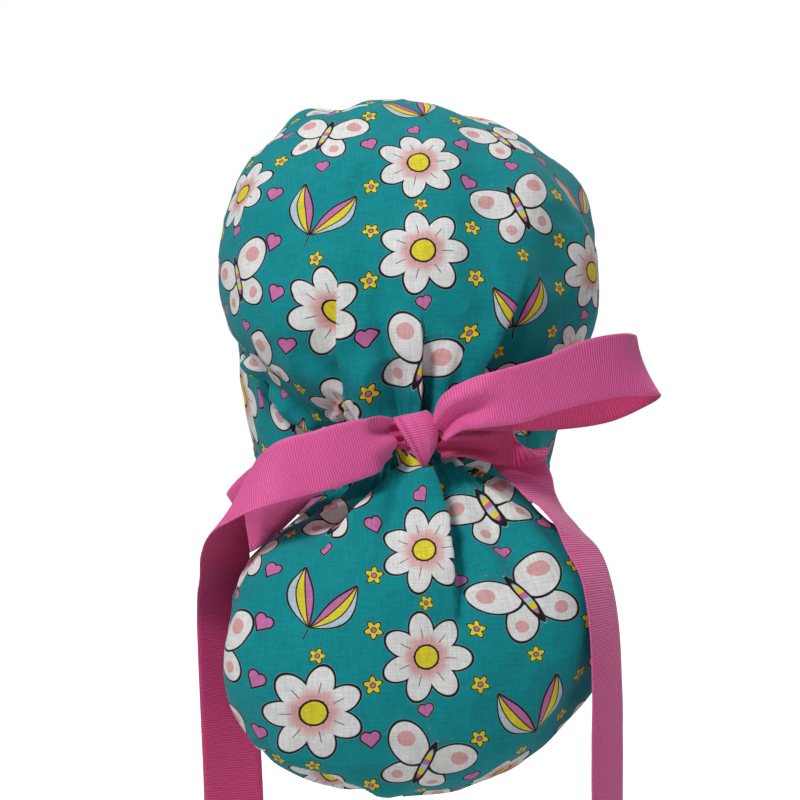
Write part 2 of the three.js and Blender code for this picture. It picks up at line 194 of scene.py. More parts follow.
@dataclass(frozen=True)
class Pleat:
    """Soft valley or ridge that runs out from the neck: degrees round, shares along, millimetres."""

    turn: float
    to_turn: float
    end: float
    height: float
    width: float
    flare: float = 1.6

    def lift(self, grid: Grid) -> tuple[Array, Array]:
        """How far the pleat lifts the cloth; it turns none under.

        Args:
            grid: The panel.

        Returns:
            The lift in metres, and zero.
        """
        along = np.clip(grid.share / self.end, 0, 1)
        path = math.radians(self.turn) + math.radians(self.to_turn - self.turn) * along
        across = wrapped(grid.turn - path) * grid.round_scale
        half = self.width * MM * (1 + (self.flare - 1) * along)
        lift = self.height * MM * np.exp(-((across / half) ** 2)) * (1 - smooth(0.35, 1, along))
        return lift, unshifted(lift)


BACK_FACING = (0.35, -0.15)
NECK_FADE = 0.03
PRINT_RECOVERY = 5


@dataclass(frozen=True)
class Crease:
    """Fold drawn on the panel as seen from behind.

    The path is (right, up) places in millimetres, from the deep end to the fading one. On its high
    side the cloth stands up by height over a width; across an edge it drops to a depth below the
    smooth form, and comes back over a recovery. The edge's sign is the side that is low: + right.
    Hidden is the cloth turned under besides, and fade the share of the path where it starts to
    fade.
    """

    path: tuple
    height: float
    width: float
    depth: float = 0.0
    recovery: float = 10.0
    edge: float = 0.0
    hidden: float = 0.0
    fade: float = 0.5

    def lift(self, grid: Grid) -> tuple[Array, Array]:
        """How far the crease lifts the cloth, and how far that moves the print.

        Args:
            grid: The panel.

        Returns:
            The lift and the shift of the print, both in metres.
        """
        across, along = self.measured(grid.points[..., 0] / MM, grid.points[..., 2] / MM)
        strength = (1 - smooth(self.fade, 1, along)) * smooth(*BACK_FACING, grid.facing[..., 1])
        strength = strength * np.clip(grid.share / NECK_FADE, 0, 1)
        if self.edge == 0:
            lift = self.height * np.exp(-((across / self.width) ** 2)) * strength
            return lift * MM, unshifted(lift)
        low = across * math.copysign(1, self.edge)
        reach = abs(self.edge)
        fallen = smooth(0, reach, low)
        high_part = self.height * np.exp(-((np.minimum(low, 0) / self.width) ** 2))
        low_part = -self.depth * np.exp(-((np.maximum(low - reach, 0) / self.recovery) ** 2))
        lift = (high_part * (1 - fallen) + low_part * fallen) * strength
        near = np.exp(-((np.maximum(low, 0) / (PRINT_RECOVERY * self.recovery)) ** 2))
        turned = (self.hidden + self.height + self.depth) * fallen * strength * near
        run_x = self.path[-1][0] - self.path[0][0]
        run_z = self.path[-1][1] - self.path[0][1]
        sense = math.copysign(1, self.edge) * math.copysign(1, run_z) / math.hypot(run_x, run_z)
        return lift * MM, turned[..., None] * MM * np.array([run_z * sense, -run_x * sense])

    def measured(self, right: Array, up: Array) -> tuple[Array, Array]:
        """Signed distance from the path and share run along it.

        Args:
            right: Places to the right.
            up: Places up.

        Returns:
            The distance, positive to the right of a path that runs up, and the share.
        """
        best = np.full(right.shape, 1e9)
        across = np.zeros(right.shape)
        along = np.zeros(right.shape)
        lengths = [math.dist(p, q) for p, q in zip(self.path, self.path[1:])]
        sense = math.copysign(1, self.path[-1][1] - self.path[0][1])
        before = 0.0
        for (x, z), (x2, z2), length in zip(self.path, self.path[1:], lengths):
            run = np.clip(((right - x) * (x2 - x) + (up - z) * (z2 - z)) / length**2, 0, 1)
            away = np.hypot(right - x - run * (x2 - x), up - z - run * (z2 - z))
            side = (right - x) * (z2 - z) - (up - z) * (x2 - x)
            nearer = away < best
            best = np.where(nearer, away, best)
            across = np.where(nearer, away * np.sign(side) * sense, across)
            along = np.where(nearer, (before + run * length) / sum(lengths), along)
            before += length
        return across, along


@dataclass(frozen=True)
class Dent:
    """Broad dent: share along, degrees round, depth in millimetres and its reach each way."""

    share: float
    turn: float
    depth: float
    reach: float
    spread: float

    def lift(self, grid: Grid) -> tuple[Array, Array]:
        """How far the dent moves the cloth out; it shifts no print.

        Args:
            grid: The panel.

        Returns:
            The lift in metres, and zero.
        """
        across = wrapped(grid.turn - math.radians(self.turn)) / math.radians(self.spread)
        run = (grid.share - self.share) / self.reach
        level = np.clip(np.minimum(grid.share / 0.1, (1 - grid.share) / 0.06), 0, 1)
        lift = -self.depth * MM * np.exp(-(across**2) - run**2) * level
        return lift, unshifted(lift)


@dataclass(frozen=True)
class Seam:
    """Stitched seam along the panel at one turn: degrees round, depth and width in millimetres."""

    turn: float
    depth: float
    width: float

    def lift(self, grid: Grid) -> tuple[Array, Array]:
        """How far the seam draws the cloth in; it shifts no print.

        Args:
            grid: The panel.

        Returns:
            The lift in metres, and zero.
        """
        across = wrapped(grid.turn - math.radians(self.turn)) * grid.round_scale / MM
        pucker = 1 + 0.5 * np.sin(grid.share * 130) * np.exp(-((across / 7) ** 2))
        near = np.exp(-((across / self.width) ** 2))
        near = near + 0.4 * np.exp(-((across / (4 * self.width)) ** 2))
        lift = -self.depth * MM * near * pucker * np.clip(grid.share / 0.05, 0, 1)
        return lift, unshifted(lift)


PHASE_RANGE = 6.28


@dataclass(frozen=True)
class Gathers:
    """Small pleats drawn up along one edge of a panel, depth and reach in millimetres."""

    at: float
    count: int
    depth: float
    reach: float
    seed: int

    def lift(self, grid: Grid) -> tuple[Array, Array]:
        """How far the gathers move the cloth; they shift no print.

        Args:
            grid: The panel.

        Returns:
            The lift in metres, and zero.
        """
        draw = np.random.default_rng(self.seed)
        warp = np.zeros_like(grid.turn)
        for order in range(1, 6):
            strength = draw.uniform(0.2, 0.9)
            warp = warp + strength * np.sin(order * grid.turn + draw.uniform(0, PHASE_RANGE))
        uneven = np.zeros_like(grid.turn)
        for order in (2, 3, 5, 7):
            uneven = uneven + np.sin(order * grid.turn + draw.uniform(0, PHASE_RANGE)) / 4
        away = np.abs(grid.share - self.at) * grid.along_scale
        reach = self.reach * MM * (1 + 0.6 * uneven)
        fade = np.exp(-((away / reach) ** 1.6))
        phase = (self.count * grid.turn + warp) / 2
        wave = 1 - 2 * np.abs(np.sin(phase)) ** 0.9
        lift = self.depth * MM * (0.75 + 0.5 * uneven) * wave * fade
        return lift, unshifted(lift)


@dataclass(frozen=True)
class Wrinkles:
    """Small wrinkles of a whole panel: lengths in metres, ends as shares of the panel."""

    height: float
    broad: float
    broad_seed: int
    fine: float
    fine_seed: int
    level: float
    neck_reach: float
    end_gain: float
    end_reach: float
    end_fade: float

    def lift(self, grid: Grid) -> Array:
        """How far the wrinkles lift the cloth, more so towards the neck and the end.

        Args:
            grid: The panel.

        Returns:
            The lift in metres.
        """
        broad = ripple(grid.points, self.broad, self.broad_seed) * self.height
        fine = ripple(grid.points, self.fine, self.fine_seed)
        near = self.level + np.exp(-grid.share / self.neck_reach)
        near = near + self.end_gain * np.exp(-(1 - grid.share) / self.end_reach)
        ends = np.minimum(grid.share / 0.04, (1 - grid.share) / self.end_fade)
        return (broad + (0.5 - np.abs(fine)) * self.height * near) * np.clip(ends, 0, 1)


CROWN_WRINKLES = Wrinkles(1.5 * MM, 46 * MM, 3, 24 * MM, 5, 0.35, 0.22, 0.8, 0.08, 0.03)
POUCH_WRINKLES = Wrinkles(1.4 * MM, 44 * MM, 11, 22 * MM, 13, 0.3, 0.2, 0.5, 0.12, 0.05)


@dataclass(frozen=True)
class NeckSizes:
    """Sizes of the nape fold and the gathered neck."""

    nape_y: float = -68 * MM
    nape_z: float = -10 * MM
    fold: float = 7 * MM
    reach: float = 48 * MM
    half_width: float = 20.5 * MM
    angle: float = math.radians(17)
    shift: float = -3 * MM


@dataclass
class Panel:
    """A cloth panel worked as a grid of rows and turns, with folds and a wall."""

    name: str
    rows: int
    turns: int
    wall: float
    neck: NeckSizes
    folds: list = field(default_factory=list)
    inner_step: int = 4

    def base(self, share: Array, turn: Array) -> Array:
        """Points of the smooth form, given by each kind of panel."""
        raise NotImplementedError

    def outward(self) -> float:
        """1 where turns and rows run right-handed seen from outside, else -1."""
        return 1.0

    def grid(self, rows: int, turns: int) -> Grid:
        """Grid of the smooth form.

        Args:
            rows: Steps along the panel.
            turns: Steps round it.

        Returns:
            The grid with its outward directions and its scales.
        """
        share = np.linspace(0, 1, rows + 1)[:, None]
        turn = (np.arange(turns) * (2 * math.pi / turns))[None, :]
        points = self.base(share, turn)
        round_step = (np.roll(points, -1, 1) - np.roll(points, 1, 1)) / 2
        along_step = np.gradient(points, axis=0)
        facing = unit(np.cross(round_step, along_step)) * self.outward()
        return Grid(
            share,
            turn,
            points,
            facing,
            np.linalg.norm(round_step, axis=-1) * turns / (2 * math.pi),
            np.linalg.norm(along_step, axis=-1) * rows,
        )

    def flat_place(self, grid: Grid) -> Array:
        """Place on the flat cloth, in millimetres, given by each kind of panel."""
        raise NotImplementedError

    def front_place(self, grid: Grid) -> Array | None:
        """Place on a second flat panel at the front, where there is one."""
        return None

    def crumple(self, grid: Grid) -> Array:
        """Small wrinkles of the panel, given by each kind of panel."""
        return np.zeros_like(grid.round_scale)

    def folded(self, grid: Grid) -> tuple[Array, Array]:
        """Lift and print shift of all the panel's folds.

        Args:
            grid: The panel's grid.

        Returns:
            The lift and the shift in metres.
        """
        lift = self.crumple(grid)
        shift = unshifted(lift)
        for fold in self.folds:
            more, moved = fold.lift(grid)
            lift = lift + more
            shift = shift + moved
        return lift, shift


def least_nearby(lift: Array, rows: int, turns: int) -> Array:
    """Lowest lift within some rows and turns, so that a wall's inner face stays inside.

    Args:
        lift: Lift of the outer face.
        rows: Rows looked at each way.
        turns: Turns looked at each way.

    Returns:
        The lowest value round each point.
    """
    low = lift
    for step in range(-turns, turns + 1):
        low = np.minimum(low, np.roll(lift, step, 1))
    padded = np.pad(low, ((rows, rows), (0, 0)), mode="edge")
    windows = [padded[i : i + lift.shape[0]] for i in range(2 * rows + 1)]
    return np.minimum.reduce(windows)


def ring_faces(count: int, turns: int, closed: bool, flip: bool) -> list[list[int]]:
    """Quads between neighbouring rings of points.

    Args:
        count: Number of rings.
        turns: Points in a ring.
        closed: Whether the last ring joins the first.
        flip: Whether the faces turn the other way.

    Returns:
        Lists of four indices.
    """
    first = np.arange(count if closed else count - 1)[:, None] * turns
    second = (first + turns) % (count * turns)
    j = np.arange(turns)[None, :]
    k = (j + 1) % turns
    quads = np.stack([first + j, first + k, second + k, second + j], axis=-1).reshape(-1, 4)
    return (quads[:, ::-1] if flip else quads).tolist()


def linked(name: str, data: bpy.types.ID) -> Object:
    """New object with the given data, linked to the scene."""
    made = bpy.data.objects.new(name, data)
    bpy.context.scene.collection.objects.link(made)
    return made


def mesh_object(name: str, points: Array, faces: list[list[int]]) -> Object:
    """New smooth-shaded mesh object.

    Args:
        name: Name of the object.
        points: Its points, one to a row.
        faces: Its faces.

    Returns:
        The object, linked to the scene.
    """
    mesh = bpy.data.meshes.new(name)
    mesh.from_pydata(points.tolist(), [], faces)
    mesh.polygons.foreach_set("use_smooth", [True] * len(mesh.polygons))
    mesh.update()
    return linked(name, mesh)


def write_places(made: Object, name: str, places: Array) -> None:
    """Store places on the flat cloth as an attribute of the points or of the face corners.

    Args:
        made: The object.
        name: Name of the attribute.
        places: Two or three numbers for each point or corner.
    """
    flat = np.zeros((len(places), 3), dtype=np.float32)
    flat[:, : places.shape[1]] = places
    domain = "POINT" if len(places) == len(made.data.vertices) else "CORNER"
    layer = made.data.attributes.new(name, "FLOAT_VECTOR", domain)
    layer.data.foreach_set("vector", flat.ravel())


CROWN_FAN = (0, 0.07, 0.15, 0.24, 0.35, 0.44, 0.54, 0.645, 0.76, 0.855, 0.95, 1)
CROWN_OUT = (0, 0.005, 0.035, 0.11, 0.232, 0.38, 0.54, 0.713, 0.843, 0.936, 1, 0.985)
CROWN_WIDE = (0, 0.01, 0.1, 0.25, 0.45, 0.64, 0.8, 0.91, 0.98, 1, 0.95, 0.87)


@dataclass
class Crown(Panel):
    """Puffed crown that fans out from the nape fold to the band seam."""

    reach: float = 195 * MM
    half_width: float = 87 * MM
    shift: float = 1.5 * MM
    seam_angle: float = math.radians(135)
    roundness: float = 2.06
    middle: tuple[float, float, float] = (1 * MM, -22 * MM, 62 * MM)
    print_radius: float = 92 * MM
    print_tilt: float = math.radians(14)

    def base(self, share: Array, turn: Array) -> Array:
        """Points of the smooth crown.

        Args:
            share: Shares along it from the neck to the seam.
            turn: Angles round it from the back.

        Returns:
            The points.
        """
        place = share * (len(CROWN_FAN) - 1)
        fan = curve_value(CROWN_FAN, place)
        angle = self.neck.angle + (self.seam_angle - self.neck.angle) * fan
        outer = self.neck.reach + (self.reach - self.neck.reach) * curve_value(CROWN_OUT, place)
        wide = self.neck.half_width
        wide = wide + (self.half_width - wide) * curve_value(CROWN_WIDE, place)
        side, back = squircle(turn, self.roundness)
        out = (outer + self.neck.fold) / 2 + ((outer - self.neck.fold) / 2) * back
        shift = self.neck.shift + (self.shift - self.neck.shift) * np.minimum(1, 2.2 * fan)
        x = shift + wide * side
        y = self.neck.nape_y - out * np.cos(angle)
        z = self.neck.nape_z + out * np.sin(angle)
        return np.stack(np.broadcast_arrays(x, y, z), axis=-1)

    def flat_place(self, grid: Grid) -> Array:
        """Place on the flat cloth, in millimetres."""
        return laid_flat(grid.points, self.middle, self.print_radius, self.print_tilt)

    def crumple(self, grid: Grid) -> Array:
        """Small wrinkles of the crown."""
        return CROWN_WRINKLES.lift(grid)


def laid_flat(
    points: Array, middle: Sequence[float], radius: float, tilt: float, front: bool = False
) -> Array:
    """Place of a puffed cloth's points when the cloth is laid flat, seen from outside.

    Args:
        points: Points of the cloth.
        middle: Middle of the puff.
        radius: Its mean radius.
        tilt: How far its facing is tipped up.
        front: Whether it faces the front instead of the back.

    Returns:
        Places in millimetres, to the right and up.
    """
    away = unit(points - np.asarray(middle))
    if front:
        away = away * [-1, -1, 1]
    axis = np.array([0, -math.cos(tilt), math.sin(tilt)])
    up = np.array([0, math.sin(tilt), math.cos(tilt)])
    bend = np.arccos(np.clip(away @ axis, -1, 1))
    right_part = away[..., 0]
    up_part = away @ up
    length = np.maximum(np.hypot(right_part, up_part), 1e-6)
    scale = bend * radius / length / MM
    return np.stack([right_part * scale, up_part * scale], axis=-1)


POUCH_DROP = (0, 0.03, 0.08, 0.15, 0.235, 0.335, 0.445, 0.56, 0.68, 0.79, 0.88, 0.95, 0.985)
POUCH_BACK = (0, 0.05, 0.17, 0.4, 0.64, 0.84, 0.96, 1, 0.98, 0.9, 0.72, 0.43, 0.1)
POUCH_FRONT = (0, 0.01, 0.06, 0.2, 0.42, 0.68, 0.9, 1, 0.97, 0.8, 0.5, 0.05, -0.5)
POUCH_WIDE = (0, 0.04, 0.17, 0.4, 0.65, 0.86, 0.98, 1, 0.935, 0.8, 0.6, 0.34, 0.04)
POUCH_TILT = (1, 0.8, 0.5, 0.2, 0, 0, 0, 0, 0, 0, 0, 0, 0)


@dataclass
class Pouch(Panel):
    """Hair pouch that hangs from the gathered neck."""

    length: float = 147 * MM
    lean: float = 13 * MM
    half_width: float = 83 * MM
    back_bulge: float = 43 * MM
    front_bulge: float = 17 * MM
    gap: float = 0.3 * MM
    middle: tuple[float, float, float] = (-2 * MM, -92 * MM, -82 * MM)
    print_radius: float = 72 * MM
    print_tilt: float = 0.0
    seam_turn: float = 96.0
    front_shift: tuple[float, float] = (371.0, 148.0)

    def outward(self) -> float:
        """Rows run downwards, so the sense is turned."""
        return -1.0

    def base(self, share: Array, turn: Array) -> Array:
        """Points of the smooth pouch.

        Args:
            share: Shares along it from the neck to the bottom.
            turn: Angles round it from the back.

        Returns:
            The points.
        """
        place = share * (len(POUCH_DROP) - 1)
        drop = curve_value(POUCH_DROP, place)
        wide = curve_value(POUCH_WIDE, place)
        slope = self.neck.angle * curve_value(POUCH_TILT, place)
        half_neck = (self.neck.reach - self.neck.fold) / 2
        middle = (self.neck.reach + self.neck.fold) / 2
        neck_y = self.neck.nape_y - middle * math.cos(self.neck.angle)
        neck_z = self.neck.nape_z + middle * math.sin(self.neck.angle)
        back_out = self.back_bulge * curve_value(POUCH_BACK, place)
        front_out = self.front_bulge * curve_value(POUCH_FRONT, place)
        back_y = neck_y - half_neck * np.cos(slope) - back_out
        front_y = neck_y + half_neck * np.cos(slope) + front_out
        half = self.neck.half_width + (self.half_width - self.neck.half_width) * wide
        side, out = squircle(turn, 2.2)
        x = self.neck.shift * (1 - 0.5 * wide) + half * side
        y = (back_y + front_y) / 2 + ((back_y - front_y) / 2) * out
        z = neck_z - self.gap - self.length * drop + half_neck * np.sin(slope) * out
        z = z + self.lean * wide * drop * side
        return np.stack(np.broadcast_arrays(x, y, z), axis=-1)

    def flat_place(self, grid: Grid) -> Array:
        """Place on the flat cloth, in millimetres."""
        return laid_flat(grid.points, self.middle, self.print_radius, self.print_tilt)

    def front_place(self, grid: Grid) -> Array:
        """Place on the front panel's flat cloth, beyond the side seams."""
        places = laid_flat(grid.points, self.middle, self.print_radius, 0.0, front=True)
        return places + np.array(self.front_shift)

    def crumple(self, grid: Grid) -> Array:
        """Small wrinkles of the pouch."""
        return POUCH_WRINKLES.lift(grid)


@dataclass
class Band(Panel):
    """Cloth band from the crown's seam to the rim of the head opening."""

    crown: Crown | None = None
    rim_half_length: float = 73 * MM
    rim_half_width: float = 68 * MM
    rim_middle_y: float = 18 * MM
    rim_middle_z: float = 22 * MM
    rim_rise: float = 60 * MM
    ear_drop: float = 30 * MM
    bulge: float = 3 * MM
    gap: float = 0.3 * MM
    width: float = 60 * MM
    hem_share: float = 0.84
    print_radius: float = 78.0

    def base(self, share: Array, turn: Array) -> Array:
        """Points of the smooth band.

        Args:
            share: Shares along it from the seam to the rim.
            turn: Angles round it from the back.

        Returns:
            The points.
        """
        crown = self.crown
        side, back = squircle(turn, crown.roundness)
        seam_facing = np.array([0, math.sin(crown.seam_angle), math.cos(crown.seam_angle)])
        seam = crown.base(np.ones((1, 1)), turn)
        top = seam + seam_facing * self.gap
        rim = np.stack(
            np.broadcast_arrays(
                crown.shift + self.rim_half_width * side,
                self.rim_middle_y + self.rim_half_length * back,
                self.rim_middle_z + self.rim_rise * back - self.ear_drop * side * side,
            ),
            axis=-1,
        )
        middle = seam.mean(axis=1, keepdims=True)
        radial = unit(seam - middle)
        flat = (rim - [0, self.rim_middle_y, 0]) * [1, 1, 0]
        away = unit(radial * (1 - share[..., None]) + unit(flat) * share[..., None])
        points = top * (1 - share[..., None]) + rim * share[..., None]
        return points + away * self.bulge * np.sin(math.pi * share)[..., None]

    def flat_place(self, grid: Grid) -> Array:
        """Place on the flat cloth, in millimetres.

        Args:
            grid: The band's grid.

        Returns:
            Two numbers for each point.
        """
        round_way = wrapped(grid.turn) * self.print_radius + 0 * grid.share
        return np.stack([round_way, -grid.share * self.width / MM + 0 * grid.turn], axis=-1)

    def crumple(self, grid: Grid) -> Array:
        """Soft waves of the band.

        Args:
            grid: The band's grid.

        Returns:
            The lift in metres.
        """
        waves = ripple(grid.points, 34 * MM, 21)
        ends = np.clip(grid.share / 0.08, 0, 1)
        hem = 0.7 * MM * smooth(self.hem_share - 0.015, self.hem_share + 0.015, grid.share)
        return (0.5 - np.abs(waves)) * 1.1 * MM * ends + hem


CROWN_FOLDS = [
    Pleat(turn=-150, to_turn=-150, end=0.25, height=-3.0, width=5),
    Pleat(turn=-112, to_turn=-112, end=0.32, height=-4.5, width=5),
    Pleat(turn=-86, to_turn=-62, end=0.4, height=-4.5, width=4),
    Pleat(turn=12, to_turn=8, end=0.3, height=-4.0, width=4),
    Pleat(turn=62, to_turn=58, end=0.42, height=-5.0, width=4.5),
    Pleat(turn=92, to_turn=86, end=0.36, height=-4.5, width=5),
    Pleat(turn=118, to_turn=116, end=0.3, height=-4.0, width=5),
    Pleat(turn=147, to_turn=147, end=0.25, height=-3.0, width=5),
    Crease(((-29, 6), (-33, 19), (-35, 41), (-35, 62), (-33, 78)), 3.0, 11, 3.8, 9, -1.2, 5, 0.6),
    Crease(((-9, 10), (-11, 18), (-14, 34), (-17, 52), (-19, 66)), -7.0, 4.2, fade=0.3),
    Crease(((-21, 12), (-24, 26), (-26, 46)), 3.0, 5, fade=0.3),
    Crease(((0, 12), (0, 26), (0, 42), (-1, 60)), 3.4, 7, 5.6, 7.5, 1.2, 0, 0.45),
    Crease(((6, 12), (9, 26), (13, 42), (15, 54)), 2.8, 3.6, fade=0.4),
    Crease(((14, 14), (24, 30), (32, 44), (40, 60), (47, 76)), 3.6, 8, 4.4, 11, 1.6, 0, 0.5),
    Crease(((-16, 9), (-40, 26), (-54, 44), (-62, 66)), -3.6, 6, fade=0.4),
    Crease(((-13, 8), (-32, 19), (-46, 30), (-58, 46)), 2.4, 4.5, fade=0.4),
    Crease(((10, 9), (28, 18), (46, 32), (60, 52)), -4.0, 5, fade=0.45),
    Crease(((-74, 34), (-66, 22), (-52, 12), (-38, 5)), 3.6, 9, 4.0, 10, 1.4, 0, 0.9),
    Dent(share=0.78, turn=-20, depth=4.5, reach=0.09, spread=7),
    Dent(share=0.77, turn=-31, depth=-3.5, reach=0.07, spread=8),
    Dent(share=0.76, turn=14, depth=5, reach=0.1, spread=15),
    Dent(share=0.72, turn=-52, depth=-2.5, reach=0.1, spread=16),
    Dent(share=0.78, turn=42, depth=2.5, reach=0.12, spread=14),
    Dent(share=0.95, turn=-70, depth=2.5, reach=0.12, spread=12),
    Dent(share=0.97, turn=86, depth=5, reach=0.16, spread=22),
    Dent(share=0.5, turn=84, depth=6, reach=0.11, spread=24),
    Dent(share=0.5, turn=-20, depth=2.5, reach=0.12, spread=9),
    Dent(share=0.58, turn=18, depth=2.0, reach=0.1, spread=10),
    Gathers(at=0, count=36, depth=1.8, reach=28, seed=41),
    Gathers(at=1, count=46, depth=1.0, reach=16, seed=43),
]

POUCH_FOLDS = [
    Pleat(turn=-152, to_turn=-152, end=0.3, height=-3.0, width=5),
    Pleat(turn=-118, to_turn=-118, end=0.35, height=-4.0, width=5),
    Pleat(turn=-90, to_turn=-84, end=0.42, height=-4.5, width=4),
    Pleat(turn=70, to_turn=60, end=0.44, height=-5.0, width=4.5),
    Pleat(turn=106, to_turn=106, end=0.35, height=-4.0, width=5),
    Pleat(turn=148, to_turn=148, end=0.3, height=-3.0, width=5),
    Crease(
        ((2, -5), (3, -10), (6, -19), (9, -30), (10, -46), (10, -62), (9, -78)),
        5.0, 12, 7.0, 9, 1.4, 0, 0.35,
    ),
    Crease(((-14, -6), (-26, -14), (-39, -22), (-54, -33), (-69, -50)), -5.6, 5, fade=0.45),
    Crease(((-12, -9), (-24, -20), (-36, -32), (-48, -46)), 3.4, 5, 3.6, 7, -1.4, 0, 0.45),
    Crease(((-7, -8), (-12, -20), (-17, -34), (-20, -46)), -3.6, 4, fade=0.3),
    Crease(((12, -7), (22, -18), (31, -32), (42, -52), (50, -74)), -5.0, 7, fade=0.4),
    Crease(((14, -5), (28, -13), (44, -24), (60, -38)), 3.0, 6, 3.8, 7, 1.4, 0, 0.4),
    Crease(((-18, -144), (-36, -138), (-54, -130), (-66, -120)), 1.8, 8, 3.6, 8, -1.2, 0, 0.9),
    Dent(share=0.43, turn=-37, depth=4.5, reach=0.09, spread=10),
    Dent(share=0.5, turn=44, depth=-2, reach=0.16, spread=16),
    Dent(share=0.88, turn=-48, depth=5, reach=0.07, spread=22),
    Dent(share=0.8, turn=60, depth=2.5, reach=0.1, spread=18),
    Seam(turn=96, depth=1.1, width=1.2),
    Seam(turn=-96, depth=1.1, width=1.2),
    Gathers(at=0, count=36, depth=1.8, reach=26, seed=47),
]


@dataclass(frozen=True)
class RibbonSizes:
    """Sizes of the grosgrain ribbon and its knot."""

    width: float = 26 * MM
    thickness: float = 0.6 * MM
    rib_pitch: float = 1.05 * MM
    rib_height: float = 0.11 * MM
    steps_per_rib: int = 6
    knot_shift: float = -4 * MM
    knot_rise: float = 1 * MM
    knot_out: float = 9.82 * MM
    wrap_gap: float = 0.72 * MM
    wrap_pleat: float = 1.7 * MM
    knot_rows: int = 150
    knot_columns: int = 29
    wrap_steps: int = 900
    wrap_columns: int = 41
    columns: int = 13
    crimp_waves: float = 1.5
    crimp_height: float = 2.4 * MM
    crimp_start: float = 20 * MM
    crimp_end: float = 38 * MM
    arch: float = 0.5 * MM
    edge_share: float = 0.35


LOOP_LEFT = (
    (-10, -1, 1, 0.3, 0, -1, 0.35),
    (-19, 0, -2, 0.1, 0.1, -1, 0.55),
    (-28, 3, -6, 0.1, 0.1, -1, 0.75),
    (-38, 8, -10, 0.2, 0.2, -1, 0.9),
    (-49, 15, -16, 0.2, 0.2, -0.9, 0.95),
    (-59, 23, -23, 0.3, 0.3, -0.9, 0.95),
    (-66, 32, -31, 0.3, 0.3, -0.9, 1),
    (-70, 39, -37, 0.3, 0.3, -0.9, 1),
    (-71, 45, -40, 0.3, 0.3, -0.9, 1),
    (-68, 49, -40, 0.2, 0.3, -0.9, 1),
    (-62, 50, -35, 0.2, 0.4, -0.9, 1),
    (-53, 47, -27, 0.2, 0.4, -0.9, 0.85),
    (-43, 38, -17, 0.2, 0.4, -0.9, 0.65),
    (-32, 23, -8, 0.2, 0.3, -0.9, 0.4),
    (-23, 11, -4, 0.2, 0.1, -1, 0.25),
)
LOOP_RIGHT = (
    (9.9, -2, 3, 0.1, 0, -1, 0.45),
    (16, -7, 11, 0.3, 0.1, -1, 0.65),
    (26, -11, 15, 0.1, 0.1, -1, 0.8),
    (40, -13, 18, 0.1, 0.1, -1, 0.9),
    (57, -11, 23, 0.1, 0.1, -1, 0.9),
    (73, -7, 28, 0.1, 0.1, -1, 1),
    (87, 0, 30, 0.2, 0.1, -1, 1),
    (97, 9, 29, 0.4, 0.1, -0.9, 1),
    (100, 17, 27, 0.4, 0, -0.9, 1),
    (96, 24, 23, 0.3, 0, -0.9, 1),
    (83, 26, 17, 0.2, 0, -1, 1),
    (65, 22, 14, 0.1, 0, -1, 0.95),
    (47, 16, 12, 0.1, 0, -1, 0.8),
    (30, 9, 10, 0.2, -0.1, -1, 0.6),
    (18, 2, 8, 0.3, -0.1, -1, 0.4),
)
TAIL_LEFT = (
    (-9.4, -2.5, 0, 0.1, 0, -1, 0.6),
    (-15, -7, -1, 0.2, 0, -1, 0.8),
    (-20, -10, -3, 0.1, 0, -1, 0.9),
    (-31, -11, -6, 0.1, 0, -1, 0.95),
    (-41, -10, -9, 0, -0.1, -1, 0.95),
    (-52, -7, -12, 0, -0.1, -1, 0.95),
    (-62, -2, -17, -0.1, -0.3, -0.9, 0.9),
    (-70, 4, -23, -0.3, -0.5, -0.8, 0.9),
    (-76, 11, -29, -0.5, -0.5, -0.8, 0.95),
    (-79, 17, -36, -0.6, -0.4, -0.7, 1),
    (-80, 24, -45, -0.7, -0.3, -0.7, 1),
    (-79.5, 31, -55, -0.8, -0.3, -0.6, 1),
    (-79.5, 39, -67, -0.9, -0.3, -0.4, 1),
    (-79, 45, -83, -1, -0.3, -0.3, 1),
    (-78, 48, -110, -1, -0.3, -0.1, 1),
    (-76, 49, -152, -1, -0.2, 0, 1),
    (-75, 49, -183, -1, -0.1, 0, 1),
)
TAIL_RIGHT = (
    (9.9, -0.5, -3, 0, 0, -1, 0.4),
    (18, 5, -3, 0.2, -0.1, -1, 0.45),
    (28, 13, -4, 0.1, -0.1, -1, 0.55),
    (37, 18, -4, 0, 0, -1, 0.7),
    (43, 20, -4, 0, 0, -1, 0.8),
    (46.8, 22, -4.4, 0.5, -0.7, -0.5, 0.85),
    (47.2, 24.2, -7.8, 1, 0, 0, 0.9),
    (47.8, 23.4, -13.5, 1, 0.15, 0, 0.9),
    (51, 17, -19, 0.8, 0.5, 0.1, 0.85),
    (54, 12, -25, 0.6, 0.8, 0.1, 0.85),
    (59, 7, -31, 0.4, 0.9, 0, 0.9),
    (65, 1, -38, 0.4, 0.9, 0, 0.95),
    (70.5, -5, -47, 0.6, 0.8, 0, 1),
    (75.5, -10, -59, 0.6, 0.8, -0.1, 1),
    (78.5, -13, -79, 0.6, 0.8, -0.1, 1),
    (80, -12, -105, 0.6, 0.8, -0.1, 1),
    (81, -7, -129, 0.6, 0.8, -0.2, 1),
    (82.5, 0, -157, 0.6, 0.8, -0.2, 1),
    (85, 5, -185, 0.6, 0.8, -0.2, 1),
)


KNOT_TURN = (
    (5.0, -4.5, 2.0, -3.0),
    (8.2, -7.6, 3.6, 0.6),
    (9.4, -9.0, 5.0, 4.0),
    (7.0, -8.2, 7.2, 6.6),
    (2.6, -5.6, 9.0, 7.8),
    (-2.2, -2.6, 9.2, 7.6),
    (-6.6, 0.0, 8.0, 6.2),
    (-10.0, 2.2, 6.6, 4.2),
    (-12.4, 3.4, 5.4, 1.4),
    (-11.6, 3.4, 5.2, -2.0),
)


